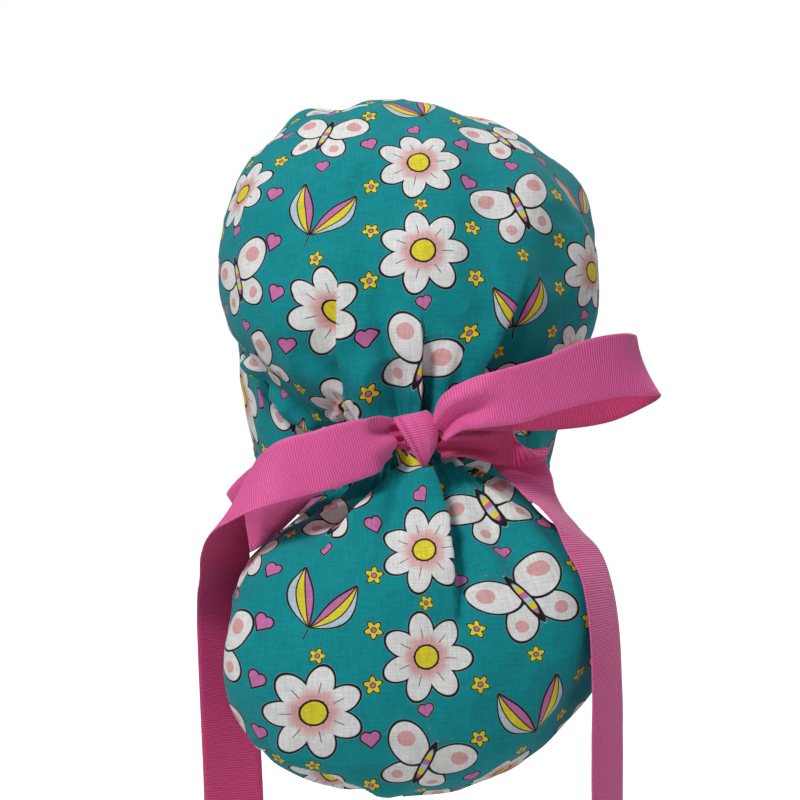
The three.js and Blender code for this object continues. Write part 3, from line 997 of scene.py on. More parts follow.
class NodeWriter:
    """Adds nodes to a tree and returns their outputs, so that a pattern reads as a formula."""

    def __init__(self, tree: Tree) -> None:
        """Write into the given tree.

        Args:
            tree: Shader tree to add to.
        """
        self.tree = tree

    def put(self, socket: Socket, value: object) -> None:
        """Link a socket to another, or set its value.

        Args:
            socket: Input to fill.
            value: An output socket, or a plain value.
        """
        if isinstance(value, Socket):
            self.tree.links.new(value, socket)
        else:
            socket.default_value = value

    def node(self, kind: str, **settings: object) -> bpy.types.Node:
        """Add a node with some of its settings.

        Args:
            kind: Node type.
            **settings: Properties to set.

        Returns:
            The node.
        """
        made = self.tree.nodes.new(kind)
        for key, value in settings.items():
            setattr(made, key, value)
        return made

    def math(self, operation: str, *values: object) -> Socket:
        """Add a math node.

        Args:
            operation: What it does.
            *values: Its inputs.

        Returns:
            Its output.
        """
        made = self.node("ShaderNodeMath", operation=operation)
        for socket, value in zip(made.inputs, values):
            self.put(socket, value)
        return made.outputs[0]

    def mul(self, first: object, second: object) -> Socket:
        """First times second."""
        return self.math("MULTIPLY", first, second)

    def mul_add(self, value: object, factor: object, more: object) -> Socket:
        """Value times factor, plus more."""
        return self.math("MULTIPLY_ADD", value, factor, more)

    def add(self, first: object, second: object) -> Socket:
        """First plus second."""
        return self.math("ADD", first, second)

    def sub(self, first: object, second: object) -> Socket:
        """First minus second."""
        return self.math("SUBTRACT", first, second)

    def div(self, first: object, second: object) -> Socket:
        """First over second."""
        return self.math("DIVIDE", first, second)

    def modulo(self, first: object, second: object) -> Socket:
        """First, wrapped into 0 to second."""
        return self.math("FLOORED_MODULO", first, second)

    def most(self, first: object, second: object) -> Socket:
        """Higher of two values."""
        return self.math("MAXIMUM", first, second)

    def least(self, first: object, second: object) -> Socket:
        """Lower of two values."""
        return self.math("MINIMUM", first, second)

    def absolute(self, value: object) -> Socket:
        """Value without its sign."""
        return self.math("ABSOLUTE", value)

    def sine(self, angle: object) -> Socket:
        """Sine of an angle."""
        return self.math("SINE", angle)

    def cosine(self, angle: object) -> Socket:
        """Cosine of an angle."""
        return self.math("COSINE", angle)

    def window(self, rise: tuple, fall: tuple, value: object) -> Socket:
        """Mask that steps up over one range of a value and down over another."""
        return self.mul(self.step(*rise, value), self.step(*fall, value))

    def noise(self, place: object, scale: float, detail: float) -> Socket:
        """Flat noise round zero.

        Args:
            place: Where it is read.
            scale: Waves to a millimetre.
            detail: Octaves added.

        Returns:
            Its value, about -0.5 to 0.5.
        """
        made = self.node("ShaderNodeTexNoise", noise_dimensions="2D")
        self.put(made.inputs["Vector"], place)
        made.inputs["Scale"].default_value = scale
        made.inputs["Detail"].default_value = detail
        return self.sub(made.outputs[0], 0.5)

    def used(self, group: Tree, place: object) -> bpy.types.Node:
        """Node that uses a group at a place.

        Args:
            group: The group.
            place: Coordinates for it.

        Returns:
            The group's node.
        """
        made = self.node("ShaderNodeGroup")
        made.node_tree = group
        self.put(made.inputs["Place"], place)
        return made

    def total(self, *values: object) -> Socket:
        """Sum of some values."""
        result = values[0]
        for value in values[1:]:
            result = self.add(result, value)
        return result

    def step(self, low: float, high: float, value: object) -> Socket:
        """Smooth step of a value, falling where high is under low.

        Args:
            low: Value that gives 0.
            high: Value that gives 1.
            value: What is stepped.

        Returns:
            The step's output.
        """
        made = self.node("ShaderNodeMapRange", interpolation_type="SMOOTHSTEP")
        falling = high < low
        self.put(made.inputs["Value"], value)
        made.inputs["From Min"].default_value = min(low, high)
        made.inputs["From Max"].default_value = max(low, high)
        made.inputs["To Min"].default_value = 1.0 if falling else 0.0
        made.inputs["To Max"].default_value = 0.0 if falling else 1.0
        return made.outputs["Result"]

    def vector(self, operation: str, *values: object) -> Socket:
        """Add a vector math node.

        Args:
            operation: What it does.
            *values: Its inputs.

        Returns:
            Its vector output.
        """
        made = self.node("ShaderNodeVectorMath", operation=operation)
        for socket, value in zip(made.inputs, values):
            self.put(socket, value)
        return made.outputs[0]

    def split(self, vector: object) -> tuple[Socket, Socket]:
        """First two parts of a vector."""
        made = self.node("ShaderNodeSeparateXYZ")
        self.put(made.inputs[0], vector)
        return made.outputs[0], made.outputs[1]

    def join(self, x: object, y: object, z: object = 0.0) -> Socket:
        """Vector from its parts."""
        made = self.node("ShaderNodeCombineXYZ")
        for socket, value in zip(made.inputs, (x, y, z)):
            self.put(socket, value)
        return made.outputs[0]

    def length(self, x: object, y: object) -> Socket:
        """Length of a flat vector."""
        return self.math("SQRT", self.total(self.mul(x, x), self.mul(y, y)))

    def mix(self, share: object, first: object, second: object) -> Socket:
        """Mix of two colours.

        Args:
            share: Share of the second.
            first: First colour.
            second: Second colour.

        Returns:
            The mixed colour.
        """
        made = self.node("ShaderNodeMix", data_type="RGBA")
        self.put(made.inputs["Factor"], share)
        self.put(made.inputs[6], first)
        self.put(made.inputs[7], second)
        return made.outputs[2]

    def turned(self, x: object, y: object, degrees: float) -> tuple[object, object]:
        """Flat coordinates seen from axes turned by an angle.

        Args:
            x: First coordinate.
            y: Second coordinate.
            degrees: Angle of the new axes.

        Returns:
            The two new coordinates.
        """
        c = math.cos(math.radians(degrees))
        s = math.sin(math.radians(degrees))
        new_x = self.mul_add(x, c, self.mul(y, s))
        new_y = self.mul_add(x, -s, self.mul(y, c))
        return new_x, new_y

    def oval(self, x: object, y: object, middle: tuple, half: tuple, degrees: float = 0) -> object:
        """Signed distance, nearly, from an oval's edge.

        Args:
            x: First coordinate.
            y: Second coordinate.
            middle: Its middle.
            half: Its half width and half height.
            degrees: How far it is turned.

        Returns:
            The distance, negative inside.
        """
        dx = self.sub(x, middle[0])
        dy = self.sub(y, middle[1])
        if degrees:
            dx, dy = self.turned(dx, dy, degrees)
        size = self.length(self.div(dx, half[0]), self.div(dy, half[1]))
        return self.mul(self.sub(size, 1.0), min(half))

    def line(self, distance: object, half: float) -> object:
        """Mask of an ink line along distance zero."""
        return self.step(half + 0.16, half - 0.16, self.absolute(distance))

    def inside(self, distance: object) -> object:
        """Mask of the inside of a shape."""
        return self.step(0.15, -0.15, distance)


def shader_group(name: str, inputs: Sequence[tuple], outputs: Sequence[tuple]) -> tuple:
    """New shader node group with its sockets.

    Args:
        name: Name of the group.
        inputs: Name, socket type and default of each input.
        outputs: Name and socket type of each output.

    Returns:
        The group, a writer for it, its input node and its output node.
    """
    group = bpy.data.node_groups.new(name, "ShaderNodeTree")
    for label, kind, value in inputs:
        socket = group.interface.new_socket(label, in_out="INPUT", socket_type=kind)
        if value is not None:
            socket.default_value = value
    for label, kind in outputs:
        group.interface.new_socket(label, in_out="OUTPUT", socket_type=kind)
    writer = NodeWriter(group)
    return group, writer, writer.node("NodeGroupInput"), writer.node("NodeGroupOutput")


FLOAT = "NodeSocketFloat"
VECTOR = "NodeSocketVector"
COLOR = "NodeSocketColor"


@dataclass(frozen=True)
class PrintInks:
    """Colours of the cotton print."""

    ground: tuple = (0.002, 0.275, 0.305, 1)
    white: tuple = (0.80, 0.81, 0.80, 1)
    ink: tuple = (0.010, 0.011, 0.013, 1)
    pink: tuple = (0.60, 0.175, 0.42, 1)
    blush: tuple = (0.74, 0.40, 0.40, 1)
    yellow: tuple = (0.80, 0.68, 0.035, 1)
    blue: tuple = (0.50, 0.63, 0.70, 1)
    outline: float = 0.52


class GardenPrint:
    """All-over print of white daisies and butterflies, striped leaves, hearts and blossoms."""

    cell_width: float = 54.0
    cell_height: float = 56.0
    turn_range: float = 1.1

    def __init__(self, inks: PrintInks) -> None:
        """Keep the inks.

        Args:
            inks: Colours of the print.
        """
        self.inks = inks

    def motif(self, name: str) -> tuple:
        """New group for one motif: place in, colour and cover out.

        Args:
            name: Name of the group.

        Returns:
            The group's parts, a writer for it and the two coordinates.
        """
        parts = shader_group(name, [("Place", VECTOR, None)], [("Color", COLOR), ("Cover", FLOAT)])
        writer = parts[1]
        return parts, writer, *writer.split(parts[2].outputs["Place"])

    def finish(self, parts: tuple, color: object, cover: object, ink: object) -> Tree:
        """Draw the ink over the fills and close the group.

        Args:
            parts: What motif returned.
            color: Colour of the fills.
            cover: Mask of the fills.
            ink: Mask of the lines.

        Returns:
            The group.
        """
        group, w, _, out = parts
        ink = w.least(ink, 1.0)
        w.put(out.inputs["Color"], w.mix(ink, color, self.inks.ink))
        w.put(out.inputs["Cover"], w.most(cover, ink))
        return group

    def daisy(self) -> Tree:
        """White daisy with blushing petals and a yellow eye."""
        parts, w, x, y = self.motif("daisy")
        sector = 2 * math.pi / 7
        radius = w.length(x, y)
        turn = w.math("ARCTAN2", y, x)
        cell = w.math("FRACT", w.mul_add(turn, 1 / sector, 0.5))
        local = w.mul(w.sub(cell, 0.5), sector)
        px = w.mul(radius, w.cosine(local))
        py = w.mul(radius, w.sine(local))
        petal = w.oval(px, py, (14.2, 0), (9.6, 6.6))
        vein = w.mul(w.line(py, 0.2), w.window((9, 10.5), (16, 14.5), px))
        color = w.mix(w.step(13.5, 7.5, px), self.inks.white, self.inks.blush)
        eye = w.sub(radius, 6.2)
        color = w.mix(w.inside(eye), color, self.inks.yellow)
        outside = w.step(-0.2, 0.2, eye)
        ink = w.mul(w.most(w.line(petal, self.inks.outline), vein), outside)
        ink = w.most(ink, w.line(eye, self.inks.outline))
        cover = w.most(w.inside(petal), w.inside(eye))
        return self.finish(parts, color, cover, ink)

    def butterfly(self) -> Tree:
        """White butterfly with pink spots and a striped body."""
        parts, w, x, y = self.motif("butterfly")
        side = w.absolute(x)
        upper = w.oval(side, y, (12.5, 7.5), (13.0, 9.2), 34)
        lower = w.oval(side, y, (9.0, -9.5), (10.0, 7.2), -48)
        body = w.oval(x, y, (0, 0), (2.3, 11.5))
        spot = w.oval(side, y, (15.0, 9.5), (4.6, 4.0))
        low_spot = w.oval(side, y, (10.2, -11.0), (3.0, 3.0))
        spots = w.most(w.inside(spot), w.inside(low_spot))
        color = w.mix(spots, self.inks.white, self.inks.blush)
        band = w.modulo(w.mul(y, 0.32), 3.0)
        stripes = w.mix(w.step(0.9, 1.1, band), self.inks.pink, self.inks.yellow)
        stripes = w.mix(w.step(1.9, 2.1, band), stripes, self.inks.blue)
        color = w.mix(w.inside(body), color, stripes)
        line = self.inks.outline
        wings = w.most(w.line(upper, line), w.mul(w.line(lower, line), w.step(-0.2, 0.2, upper)))
        wings = w.mul(wings, w.step(-0.2, 0.2, body))
        bend = w.math("POWER", w.most(w.sub(y, 10), 0.0), 2.0)
        feeler = w.line(w.sub(side, w.mul(bend, 0.09)), 0.3)
        feeler = w.mul(feeler, w.window((10.5, 11.5), (19, 18), y))
        ink = w.most(w.most(wings, w.line(body, line)), feeler)
        cover = w.most(w.inside(w.least(upper, lower)), w.inside(body))
        return self.finish(parts, color, cover, ink)

    def leaves(self) -> Tree:
        """Pair of leaves striped pink, yellow and pale blue."""
        parts, w, x, y = self.motif("striped_leaves")
        side = w.absolute(x)
        leaf = 33.0
        lx, ly = w.turned(side, w.add(y, 15.0), -27)
        run = w.div(ly, leaf)
        curved = w.sub(lx, w.mul(w.mul(ly, w.sub(leaf, ly)), 0.013))
        wave = w.sine(w.mul(w.least(w.most(run, 0.0), 1.0), math.pi))
        half = w.mul_add(wave, 6.4, 0.02)
        share = w.div(curved, half)
        edge = w.mul(w.sub(w.absolute(share), 1.0), half)
        rib = w.mul(w.sub(w.absolute(share), 0.34), half)
        within = w.window((-0.01, 0.02), (1.01, 0.98), run)
        color = w.mix(w.step(-0.38, -0.30, share), self.inks.pink, self.inks.yellow)
        color = w.mix(w.step(0.30, 0.38, share), color, self.inks.blue)
        cover = w.mul(w.inside(edge), within)
        ribs = w.mul(w.line(rib, 0.34), cover)
        ink = w.most(w.mul(w.line(edge, self.inks.outline), within), ribs)
        stem = w.mul(w.line(x, 0.42), w.window((-22, -21.5), (-13.5, -14.5), y))
        return self.finish(parts, color, cover, w.most(ink, stem))

    def heart(self) -> Tree:
        """Small pink heart."""
        parts, w, x, y = self.motif("heart")
        side = w.absolute(x)
        size = 2.9
        leg = size / math.sqrt(2)
        corner = w.sub(w.total(side, w.absolute(y)), size * math.sqrt(2))
        square = w.mul(corner, leg / size)
        lobe = w.sub(w.length(w.sub(side, leg), w.sub(y, leg)), size)
        edge = w.least(square, lobe)
        return self.finish(parts, self.inks.pink, w.inside(edge), w.line(edge, self.inks.outline * 0.85))

    def blossom(self) -> Tree:
        """Small yellow blossom with a pink eye."""
        parts, w, x, y = self.motif("blossom")
        radius = w.length(x, y)
        wave = w.cosine(w.mul(w.math("ARCTAN2", y, x), 5.0))
        edge = w.sub(radius, w.mul_add(wave, 1.05, 3.9))
        eye = w.sub(radius, 1.35)
        color = w.mix(w.inside(eye), self.inks.yellow, self.inks.pink)
        ink = w.most(w.line(edge, self.inks.outline * 0.85), w.line(eye, 0.22))
        return self.finish(parts, color, w.inside(edge), ink)

    def placed(self, w: NodeWriter, group: Tree, place: object) -> tuple:
        """Colour and cover of a motif at a place."""
        made = w.used(group, place)
        return made.outputs["Color"], made.outputs["Cover"]

    def cell(
        self, w: NodeWriter, x: object, y: object, wide: float, tall: float, drop: float, seed: float
    ) -> tuple:
        """Middle-based coordinates in one cell of a repeat, turned at random.

        Args:
            w: Writer of the print's tree.
            x: Place to the right.
            y: Place up.
            wide: Width of a cell.
            tall: Height of a cell.
            drop: How far every other column is dropped.
            seed: Number that sets the random turns.

        Returns:
            The local place, a random number of the cell, its column and its row.
        """
        column = w.math("FLOOR", w.mul_add(x, 1 / wide, 0.5))
        odd = w.modulo(column, 2.0)
        dropped = w.mul_add(odd, -drop, y)
        row = w.math("FLOOR", w.mul_add(dropped, 1 / tall, 0.5))
        random = w.node("ShaderNodeTexWhiteNoise", noise_dimensions="3D")
        w.put(random.inputs["Vector"], w.join(column, row, seed))
        draw = w.node("ShaderNodeSeparateColor")
        w.put(draw.inputs[0], random.outputs["Color"])
        local_x = w.mul_add(column, -wide, x)
        local_y = w.mul_add(row, -tall, dropped)
        turn = w.node("ShaderNodeVectorRotate", rotation_type="Z_AXIS")
        w.put(turn.inputs["Vector"], w.join(local_x, local_y))
        w.put(turn.inputs["Angle"], w.mul(w.sub(draw.outputs[0], 0.5), self.turn_range))
        return turn.outputs[0], draw.outputs[1], column, row

    def build(self) -> Tree:
        """Whole print: place in, colour and ink cover out."""
        inputs = [("Place", VECTOR, None), ("Scale", FLOAT, 1.0), ("Ground", COLOR, self.inks.ground)]
        outputs = [("Color", COLOR), ("Cover", FLOAT)]
        group, w, source, out = shader_group("garden_print", inputs, outputs)
        wide, tall = self.cell_width, self.cell_height
        sized = w.vector("SCALE", source.outputs["Place"])
        w.put(sized.node.inputs["Scale"], w.div(1.0, source.outputs["Scale"]))
        x, y = w.split(sized)
        place, _, column, row = self.cell(w, x, y, wide, tall, tall / 2, 3.0)
        daisy, daisy_cover = self.placed(w, self.daisy(), place)
        butterfly, butterfly_cover = self.placed(w, self.butterfly(), place)
        leaves, leaves_cover = self.placed(w, self.leaves(), place)
        order = w.modulo(w.total(w.mul(row, 2.0), column), 5.0)
        is_fly = w.add(w.math("COMPARE", order, 1.0, 0.1), w.math("COMPARE", order, 3.0, 0.1))
        is_leaf = w.math("COMPARE", order, 4.0, 0.1)
        big = w.mix(is_leaf, w.mix(is_fly, daisy, butterfly), leaves)
        cover = self.chosen(w, is_fly, daisy_cover, butterfly_cover)
        cover = self.chosen(w, is_leaf, cover, leaves_cover)
        heart, blossom = self.heart(), self.blossom()
        beside = (w.add(x, wide / 2), w.add(y, tall / 4))
        place, draw, _, _ = self.cell(w, *beside, wide, tall / 2, 0.0, 7.0)
        small, small_cover = self.either(w, heart, blossom, place, draw, 0.5)
        place, draw, _, _ = self.cell(w, x, w.add(y, tall / 2), wide, tall, tall / 2, 11.0)
        grown = w.vector("SCALE", place)
        w.put(grown.node.inputs["Scale"], 1.2)
        more, more_cover = self.either(w, heart, blossom, grown, draw, 0.4)
        small = w.mix(more_cover, small, more)
        small_cover = w.most(small_cover, more_cover)
        color = w.mix(small_cover, source.outputs["Ground"], small)
        color = w.mix(cover, color, big)
        w.put(out.inputs["Color"], color)
        w.put(out.inputs["Cover"], w.most(cover, small_cover))
        return group

    def either(
        self,
        w: NodeWriter,
        heart: Tree,
        blossom: Tree,
        place: object,
        draw: object,
        limit: float,
    ) -> tuple:
        """Heart or blossom in a cell.

        Args:
            w: Writer of the print's tree.
            heart: Group of the heart.
            blossom: Group of the blossom.
            place: Coordinates in the cell.
            draw: Random number of the cell.
            limit: The heart is drawn where the number is above this.

        Returns:
            The colour and the cover.
        """
        first, first_cover = self.placed(w, blossom, place)
        second, second_cover = self.placed(w, heart, place)
        is_heart = w.math("GREATER_THAN", draw, limit)
        return w.mix(is_heart, first, second), self.chosen(w, is_heart, first_cover, second_cover)

    def chosen(self, w: NodeWriter, share: object, first: object, second: object) -> object:
        """One of two values, by a mask."""
        return w.mul_add(share, w.sub(second, first), first)


def weave_group() -> Tree:
    """Plain weave with uneven threads: place in, tone and height out."""
    inputs = [("Place", VECTOR, None), ("Thread", FLOAT, 0.5), ("Unevenness", FLOAT, 0.3)]
    group, w, source, out = shader_group("plain_weave", inputs, [("Tone", FLOAT), ("Height", FLOAT)])
    x, y = w.split(source.outputs["Place"])
    step = w.div(math.pi, source.outputs["Thread"])
    over = w.mul(w.sine(w.mul(x, step)), w.sine(w.mul(y, step)))
    slubs = []
    for right, up in ((0.2, 2.4), (2.4, 0.2), (0.1, 1.0), (1.0, 0.1)):
        slubs.append(w.noise(w.join(w.mul(x, right), w.mul(y, up)), 1.0, 2.0))
    uneven = w.total(*slubs)
    tone = w.mul_add(uneven, source.outputs["Unevenness"], 1.0)
    tone = w.mul_add(over, 0.03, tone)
    w.put(out.inputs["Tone"], tone)
    w.put(out.inputs["Height"], w.mul_add(over, 0.35, uneven))
    return group


THREAD_PITCH = 0.42


def rib_group() -> Tree:
    """Cross ribs of grosgrain: place in, tone with painted shade in the rib valleys, height and selvedge
    out.
    """
    inputs = [("Place", VECTOR, None), ("Pitch", FLOAT, 1.05), ("Half Width", FLOAT, 13.0)]
    outputs = [("Tone", FLOAT), ("Height", FLOAT), ("Selvedge", FLOAT)]
    group, w, source, out = shader_group("grosgrain_ribs", inputs, outputs)
    run, across = w.split(source.outputs["Place"])
    turn = w.div(w.mul(run, 2 * math.pi), source.outputs["Pitch"])
    rib = w.mul_add(w.sine(turn), 0.5, 0.5)
    noise = w.noise(w.join(run, w.mul(across, 3.0)), 0.9, 3.0)
    thread = w.sine(w.mul(across, 2 * math.pi / THREAD_PITCH))
    inset = w.sub(source.outputs["Half Width"], w.absolute(across))
    selvedge = w.step(1.1, 0.5, inset)
    tone = w.mul_add(noise, 0.16, 0.78)
    # The rib valleys are painted darker here, as shade, over the ribbon's own uneven tone from the noise.
    tone = w.mul_add(rib, 0.22, tone)
    w.put(out.inputs["Tone"], w.mul_add(selvedge, 0.06, tone))
    w.put(out.inputs["Height"], w.mul_add(thread, 0.06, rib))
    w.put(out.inputs["Selvedge"], selvedge)
    return group


@dataclass(frozen=True)
class CottonFinish:
    """Finish of the printed cotton's face or reverse."""

    name: str
    fade: float
    roughness: float = 0.86
    sheen: float = 0.06
    bump: float = 0.35
    print_scale: float = 0.86
    cloud_scale: float = 0.06
    cloud_tone: float = 0.14
    reverse: tuple = (0.18, 0.42, 0.43, 1)

    def material(self, pattern: Tree, weave: Tree) -> Material:
        """Material of this finish.

        Args:
            pattern: Group of the print.
            weave: Group of the weave.

        Returns:
            The material.
        """
        made, w, surface = new_material(self.name)
        place = w.node("ShaderNodeAttribute", attribute_name=CLOTH_PLACE).outputs["Vector"]
        drawn = w.used(pattern, place)
        drawn.inputs["Scale"].default_value = self.print_scale
        threads = w.used(weave, place)
        cloud = w.noise(place, self.cloud_scale, 4.0)
        color = drawn.outputs["Color"]
        if self.fade:
            color = w.mix(self.fade, color, self.reverse)
        tone = w.mul_add(cloud, self.cloud_tone, threads.outputs["Tone"])
        toned = w.node("ShaderNodeMix", data_type="RGBA", blend_type="MULTIPLY")
        toned.inputs["Factor"].default_value = 1.0
        w.put(toned.inputs[6], color)
        w.put(toned.inputs[7], tone)
        w.put(surface.inputs["Base Color"], toned.outputs[2])
        rough = w.mul_add(drawn.outputs["Cover"], -0.08, self.roughness)
        w.put(surface.inputs["Roughness"], rough)
        surface.inputs["Sheen Weight"].default_value = self.sheen
        surface.inputs["Sheen Roughness"].default_value = 0.5
        surface.inputs["Specular IOR Level"].default_value = 0.2
        add_bump(w, surface, threads.outputs["Height"], self.bump, 0.12 * MM)
        return made


@dataclass(frozen=True)
class RibbonFinish:
    """Finish of the grosgrain ribbon, with painted shade in its rib valleys and on its reverse face."""

    name: str = "pink_grosgrain"
    color: tuple = (0.94, 0.165, 0.470, 1)
    # Painted shade: the face's darker colour in the rib valleys.
    shaded: tuple = (0.66, 0.045, 0.220, 1)
    # Painted shade: the reverse face gets darker colours, though the ribbon is dyed alike on both sides.
    reverse: tuple = (0.74, 0.070, 0.250, 1)
    reverse_shaded: tuple = (0.48, 0.018, 0.115, 1)
    roughness: float = 0.52
    sheen: float = 0.25
    bump: float = 0.5

    def material(self, ribs: Tree) -> Material:
        """Material of this finish.

        Args:
            ribs: Group of the ribs.

        Returns:
            The material.
        """
        made, w, surface = new_material(self.name)
        place = w.node("ShaderNodeAttribute", attribute_name=RIBBON_PLACE).outputs["Vector"]
        ribbed = w.used(ribs, place)
        # Painted shade: low tone, mostly in the rib valleys, turns the colour towards the shaded one; the
        # noise in it is the ribbon's own uneven tone.
        shade = w.step(0.70, 1.02, ribbed.outputs["Tone"])
        parts = w.node("ShaderNodeSeparateXYZ")
        w.put(parts.inputs[0], place)
        face = w.mix(shade, self.shaded, self.color)
        back = w.mix(shade, self.reverse_shaded, self.reverse)
        # Painted shade: faces marked 1 in the third place, the reverse, take the darker shaded colours.
        color = w.mix(w.step(0.3, 0.7, parts.outputs[2]), face, back)
        w.put(surface.inputs["Base Color"], color)
        rough = w.mul_add(ribbed.outputs["Tone"], -0.12, self.roughness + 0.1)
        w.put(surface.inputs["Roughness"], rough)
        surface.inputs["Sheen Weight"].default_value = self.sheen
        surface.inputs["Sheen Roughness"].default_value = 0.35
        surface.inputs["Specular IOR Level"].default_value = 0.45
        add_bump(w, surface, ribbed.outputs["Height"], self.bump, 0.2 * MM)
        return made


def new_material(name: str) -> tuple:
    """New material with a surface shader.

    Args:
        name: Its name.

    Returns:
        The material, a writer for its tree and its Principled shader.
    """
    made = bpy.data.materials.new(name)
    made.use_nodes = True
    surface = next(node for node in made.node_tree.nodes if node.type == "BSDF_PRINCIPLED")
    return made, NodeWriter(made.node_tree), surface


def add_bump(
    w: NodeWriter, surface: bpy.types.Node, height: object, strength: float, distance: float
) -> None:
    """Feed a bump into a surface.

    Args:
        w: Writer of the material's tree.
        surface: Its Principled shader.
        height: Output that gives the height.
        strength: Strength of the bump.
        distance: Height of a full step.
    """
    bump = w.node("ShaderNodeBump")
    bump.inputs["Strength"].default_value = strength
    bump.inputs["Distance"].default_value = distance
    w.put(bump.inputs["Height"], height)
    w.put(surface.inputs["Normal"], bump.outputs["Normal"])


@dataclass
class Finishes:
    """All the materials, made once."""

    face: Material
    reverse: Material
    ribbon: Material
    thread: Material

    @classmethod
    def make(cls) -> "Finishes":
        """Build the node groups and the materials from them."""
        pattern = GardenPrint(PrintInks()).build()
        weave = weave_group()
        ribs = rib_group()
        return cls(
            CottonFinish("cotton_face", 0.0).material(pattern, weave),
            CottonFinish("cotton_reverse", 0.72, bump=0.3).material(pattern, weave),
            RibbonFinish().material(ribs),
            thread_material(),
        )


def thread_material() -> Material:
    """Teal sewing thread."""
    made, _, surface = new_material("teal_thread")
    surface.inputs["Base Color"].default_value = (0.01, 0.25, 0.27, 1)
    surface.inputs["Roughness"].default_value = 0.6
    return made


class ClothPiece:
    """Turns a panel into a walled mesh object with its print places and its two finishes."""

    def __init__(self, panel: Panel, finishes: Finishes) -> None:
        """Keep the panel and the finishes.

        Args:
            panel: The panel.
            finishes: Materials.
        """
        self.panel = panel
        self.finishes = finishes

    def build(self, capped: bool = False) -> Object:
        """Walled mesh of the panel.

        Args:
            capped: Whether the last row is closed by a pole, as at a bag's bottom.

        Returns:
            The object.
        """
        panel = self.panel
        grid = panel.grid(panel.rows, panel.turns)
        lift, shift = panel.folded(grid)
        outer = grid.points + grid.facing * lift[..., None]
        low = least_nearby(lift, panel.inner_step, 1)
        inner = (grid.points + grid.facing * (low - panel.wall)[..., None])[:: panel.inner_step]
        places = panel.flat_place(grid) + shift / MM
        inner_places = places[:: panel.inner_step]
        start_rim = self.rim(outer[0], inner[0], outer[1])
        end_rim = self.rim(outer[-1], inner[-1], outer[-2])
        if capped:
            rings = [*outer[::-1], start_rim, *inner]
            ring_places = [*places[::-1], places[0], *inner_places]
        else:
            rings = [*outer, end_rim, *inner[::-1], start_rim]
            ring_places = [*places, places[-1], *inner_places[::-1], places[0]]
        points = np.concatenate(rings)
        flat = np.concatenate(ring_places)
        faces = ring_faces(len(rings), panel.turns, not capped, False)
        if capped:
            points, flat, faces = self.with_poles(points, flat, faces, len(rings))
        made = mesh_object(panel.name, points, faces)
        write_places(made, CLOTH_PLACE, self.cornered(made, flat, grid))
        self.dress(made, len(outer), len(rings), capped)
        return made

    def cornered(self, made: Object, flat: Array, grid: Grid) -> Array:
        """Print places by face corner where a front panel has its own, else by point.

        Args:
            made: The object.
            flat: Places of the points on the back panel's cloth.
            grid: The panel's grid.

        Returns:
            The places.
        """
        front = self.panel.front_place(grid)
        if front is None:
            return flat
        step, turns = self.panel.inner_step, self.panel.turns
        rings = np.concatenate([front[::-1], front[:1], front[::step]])
        points = rings.reshape(-1, 2)
        points = np.concatenate([points, [front[-1].mean(axis=0)] * 2])
        corners = np.zeros(len(made.data.loops), dtype=np.int32)
        made.data.loops.foreach_get("vertex_index", corners)
        quads = (len(made.data.polygons) - 2 * turns) * 4
        quad_columns = np.repeat(np.arange(quads // 4) % turns, 4)
        column = np.concatenate([quad_columns, np.repeat(np.arange(turns), 6)])
        seam = round(self.panel.seam_turn / 360 * turns)
        at_front = (column >= seam) & (column < turns - seam)
        return np.where(at_front[:, None], points[corners], flat[corners])

    def rim(self, outer: Array, inner: Array, before: Array) -> Array:
        """Rounded edge between the outer and the inner face.

        Args:
            outer: Last ring of the outer face.
            inner: Last ring of the inner face.
            before: Ring of the outer face before its last.

        Returns:
            A ring that bulges past the edge.
        """
        return (outer + inner) / 2 + unit(outer - before) * self.panel.wall * 0.3

    def with_poles(self, points: Array, flat: Array, faces: list, count: int) -> tuple:
        """Close both ends of the rings with fans.

        Args:
            points: Points of the rings.
            flat: Their places on the cloth.
            faces: Faces so far.
            count: Number of rings.

        Returns:
            Points, places and faces with the fans.
        """
        turns = self.panel.turns
        last = (count - 1) * turns
        poles = np.stack([points[:turns].mean(axis=0), points[last:].mean(axis=0)])
        pole_places = np.stack([flat[:turns].mean(axis=0), flat[last:].mean(axis=0)])
        first_pole = len(points)
        for j in range(turns):
            k = (j + 1) % turns
            faces.append([first_pole, k, j])
            faces.append([first_pole + 1, last + j, last + k])
        return np.concatenate([points, poles]), np.concatenate([flat, pole_places]), faces

    def dress(self, made: Object, outer_rings: int, rings: int, capped: bool) -> None:
        """Give the outer face the print and the inner face its paler reverse.

        Args:
            made: The object.
            outer_rings: Rings of the outer face, which come first.
            rings: All rings.
            capped: Whether fans follow the quads.
        """
        turns = self.panel.turns
        made.data.materials.append(self.finishes.face)
        made.data.materials.append(self.finishes.reverse)
        count = len(made.data.polygons)
        index = np.zeros(count, dtype=np.int32)
        gaps = rings - 1 if capped else rings
        inner_first = outer_rings * turns
        inner_last = (gaps if capped else gaps - 1) * turns
        index[inner_first:inner_last] = 1
        if capped:
            index[gaps * turns + 1 :: 2] = 1
        made.data.polygons.foreach_set("material_index", index)


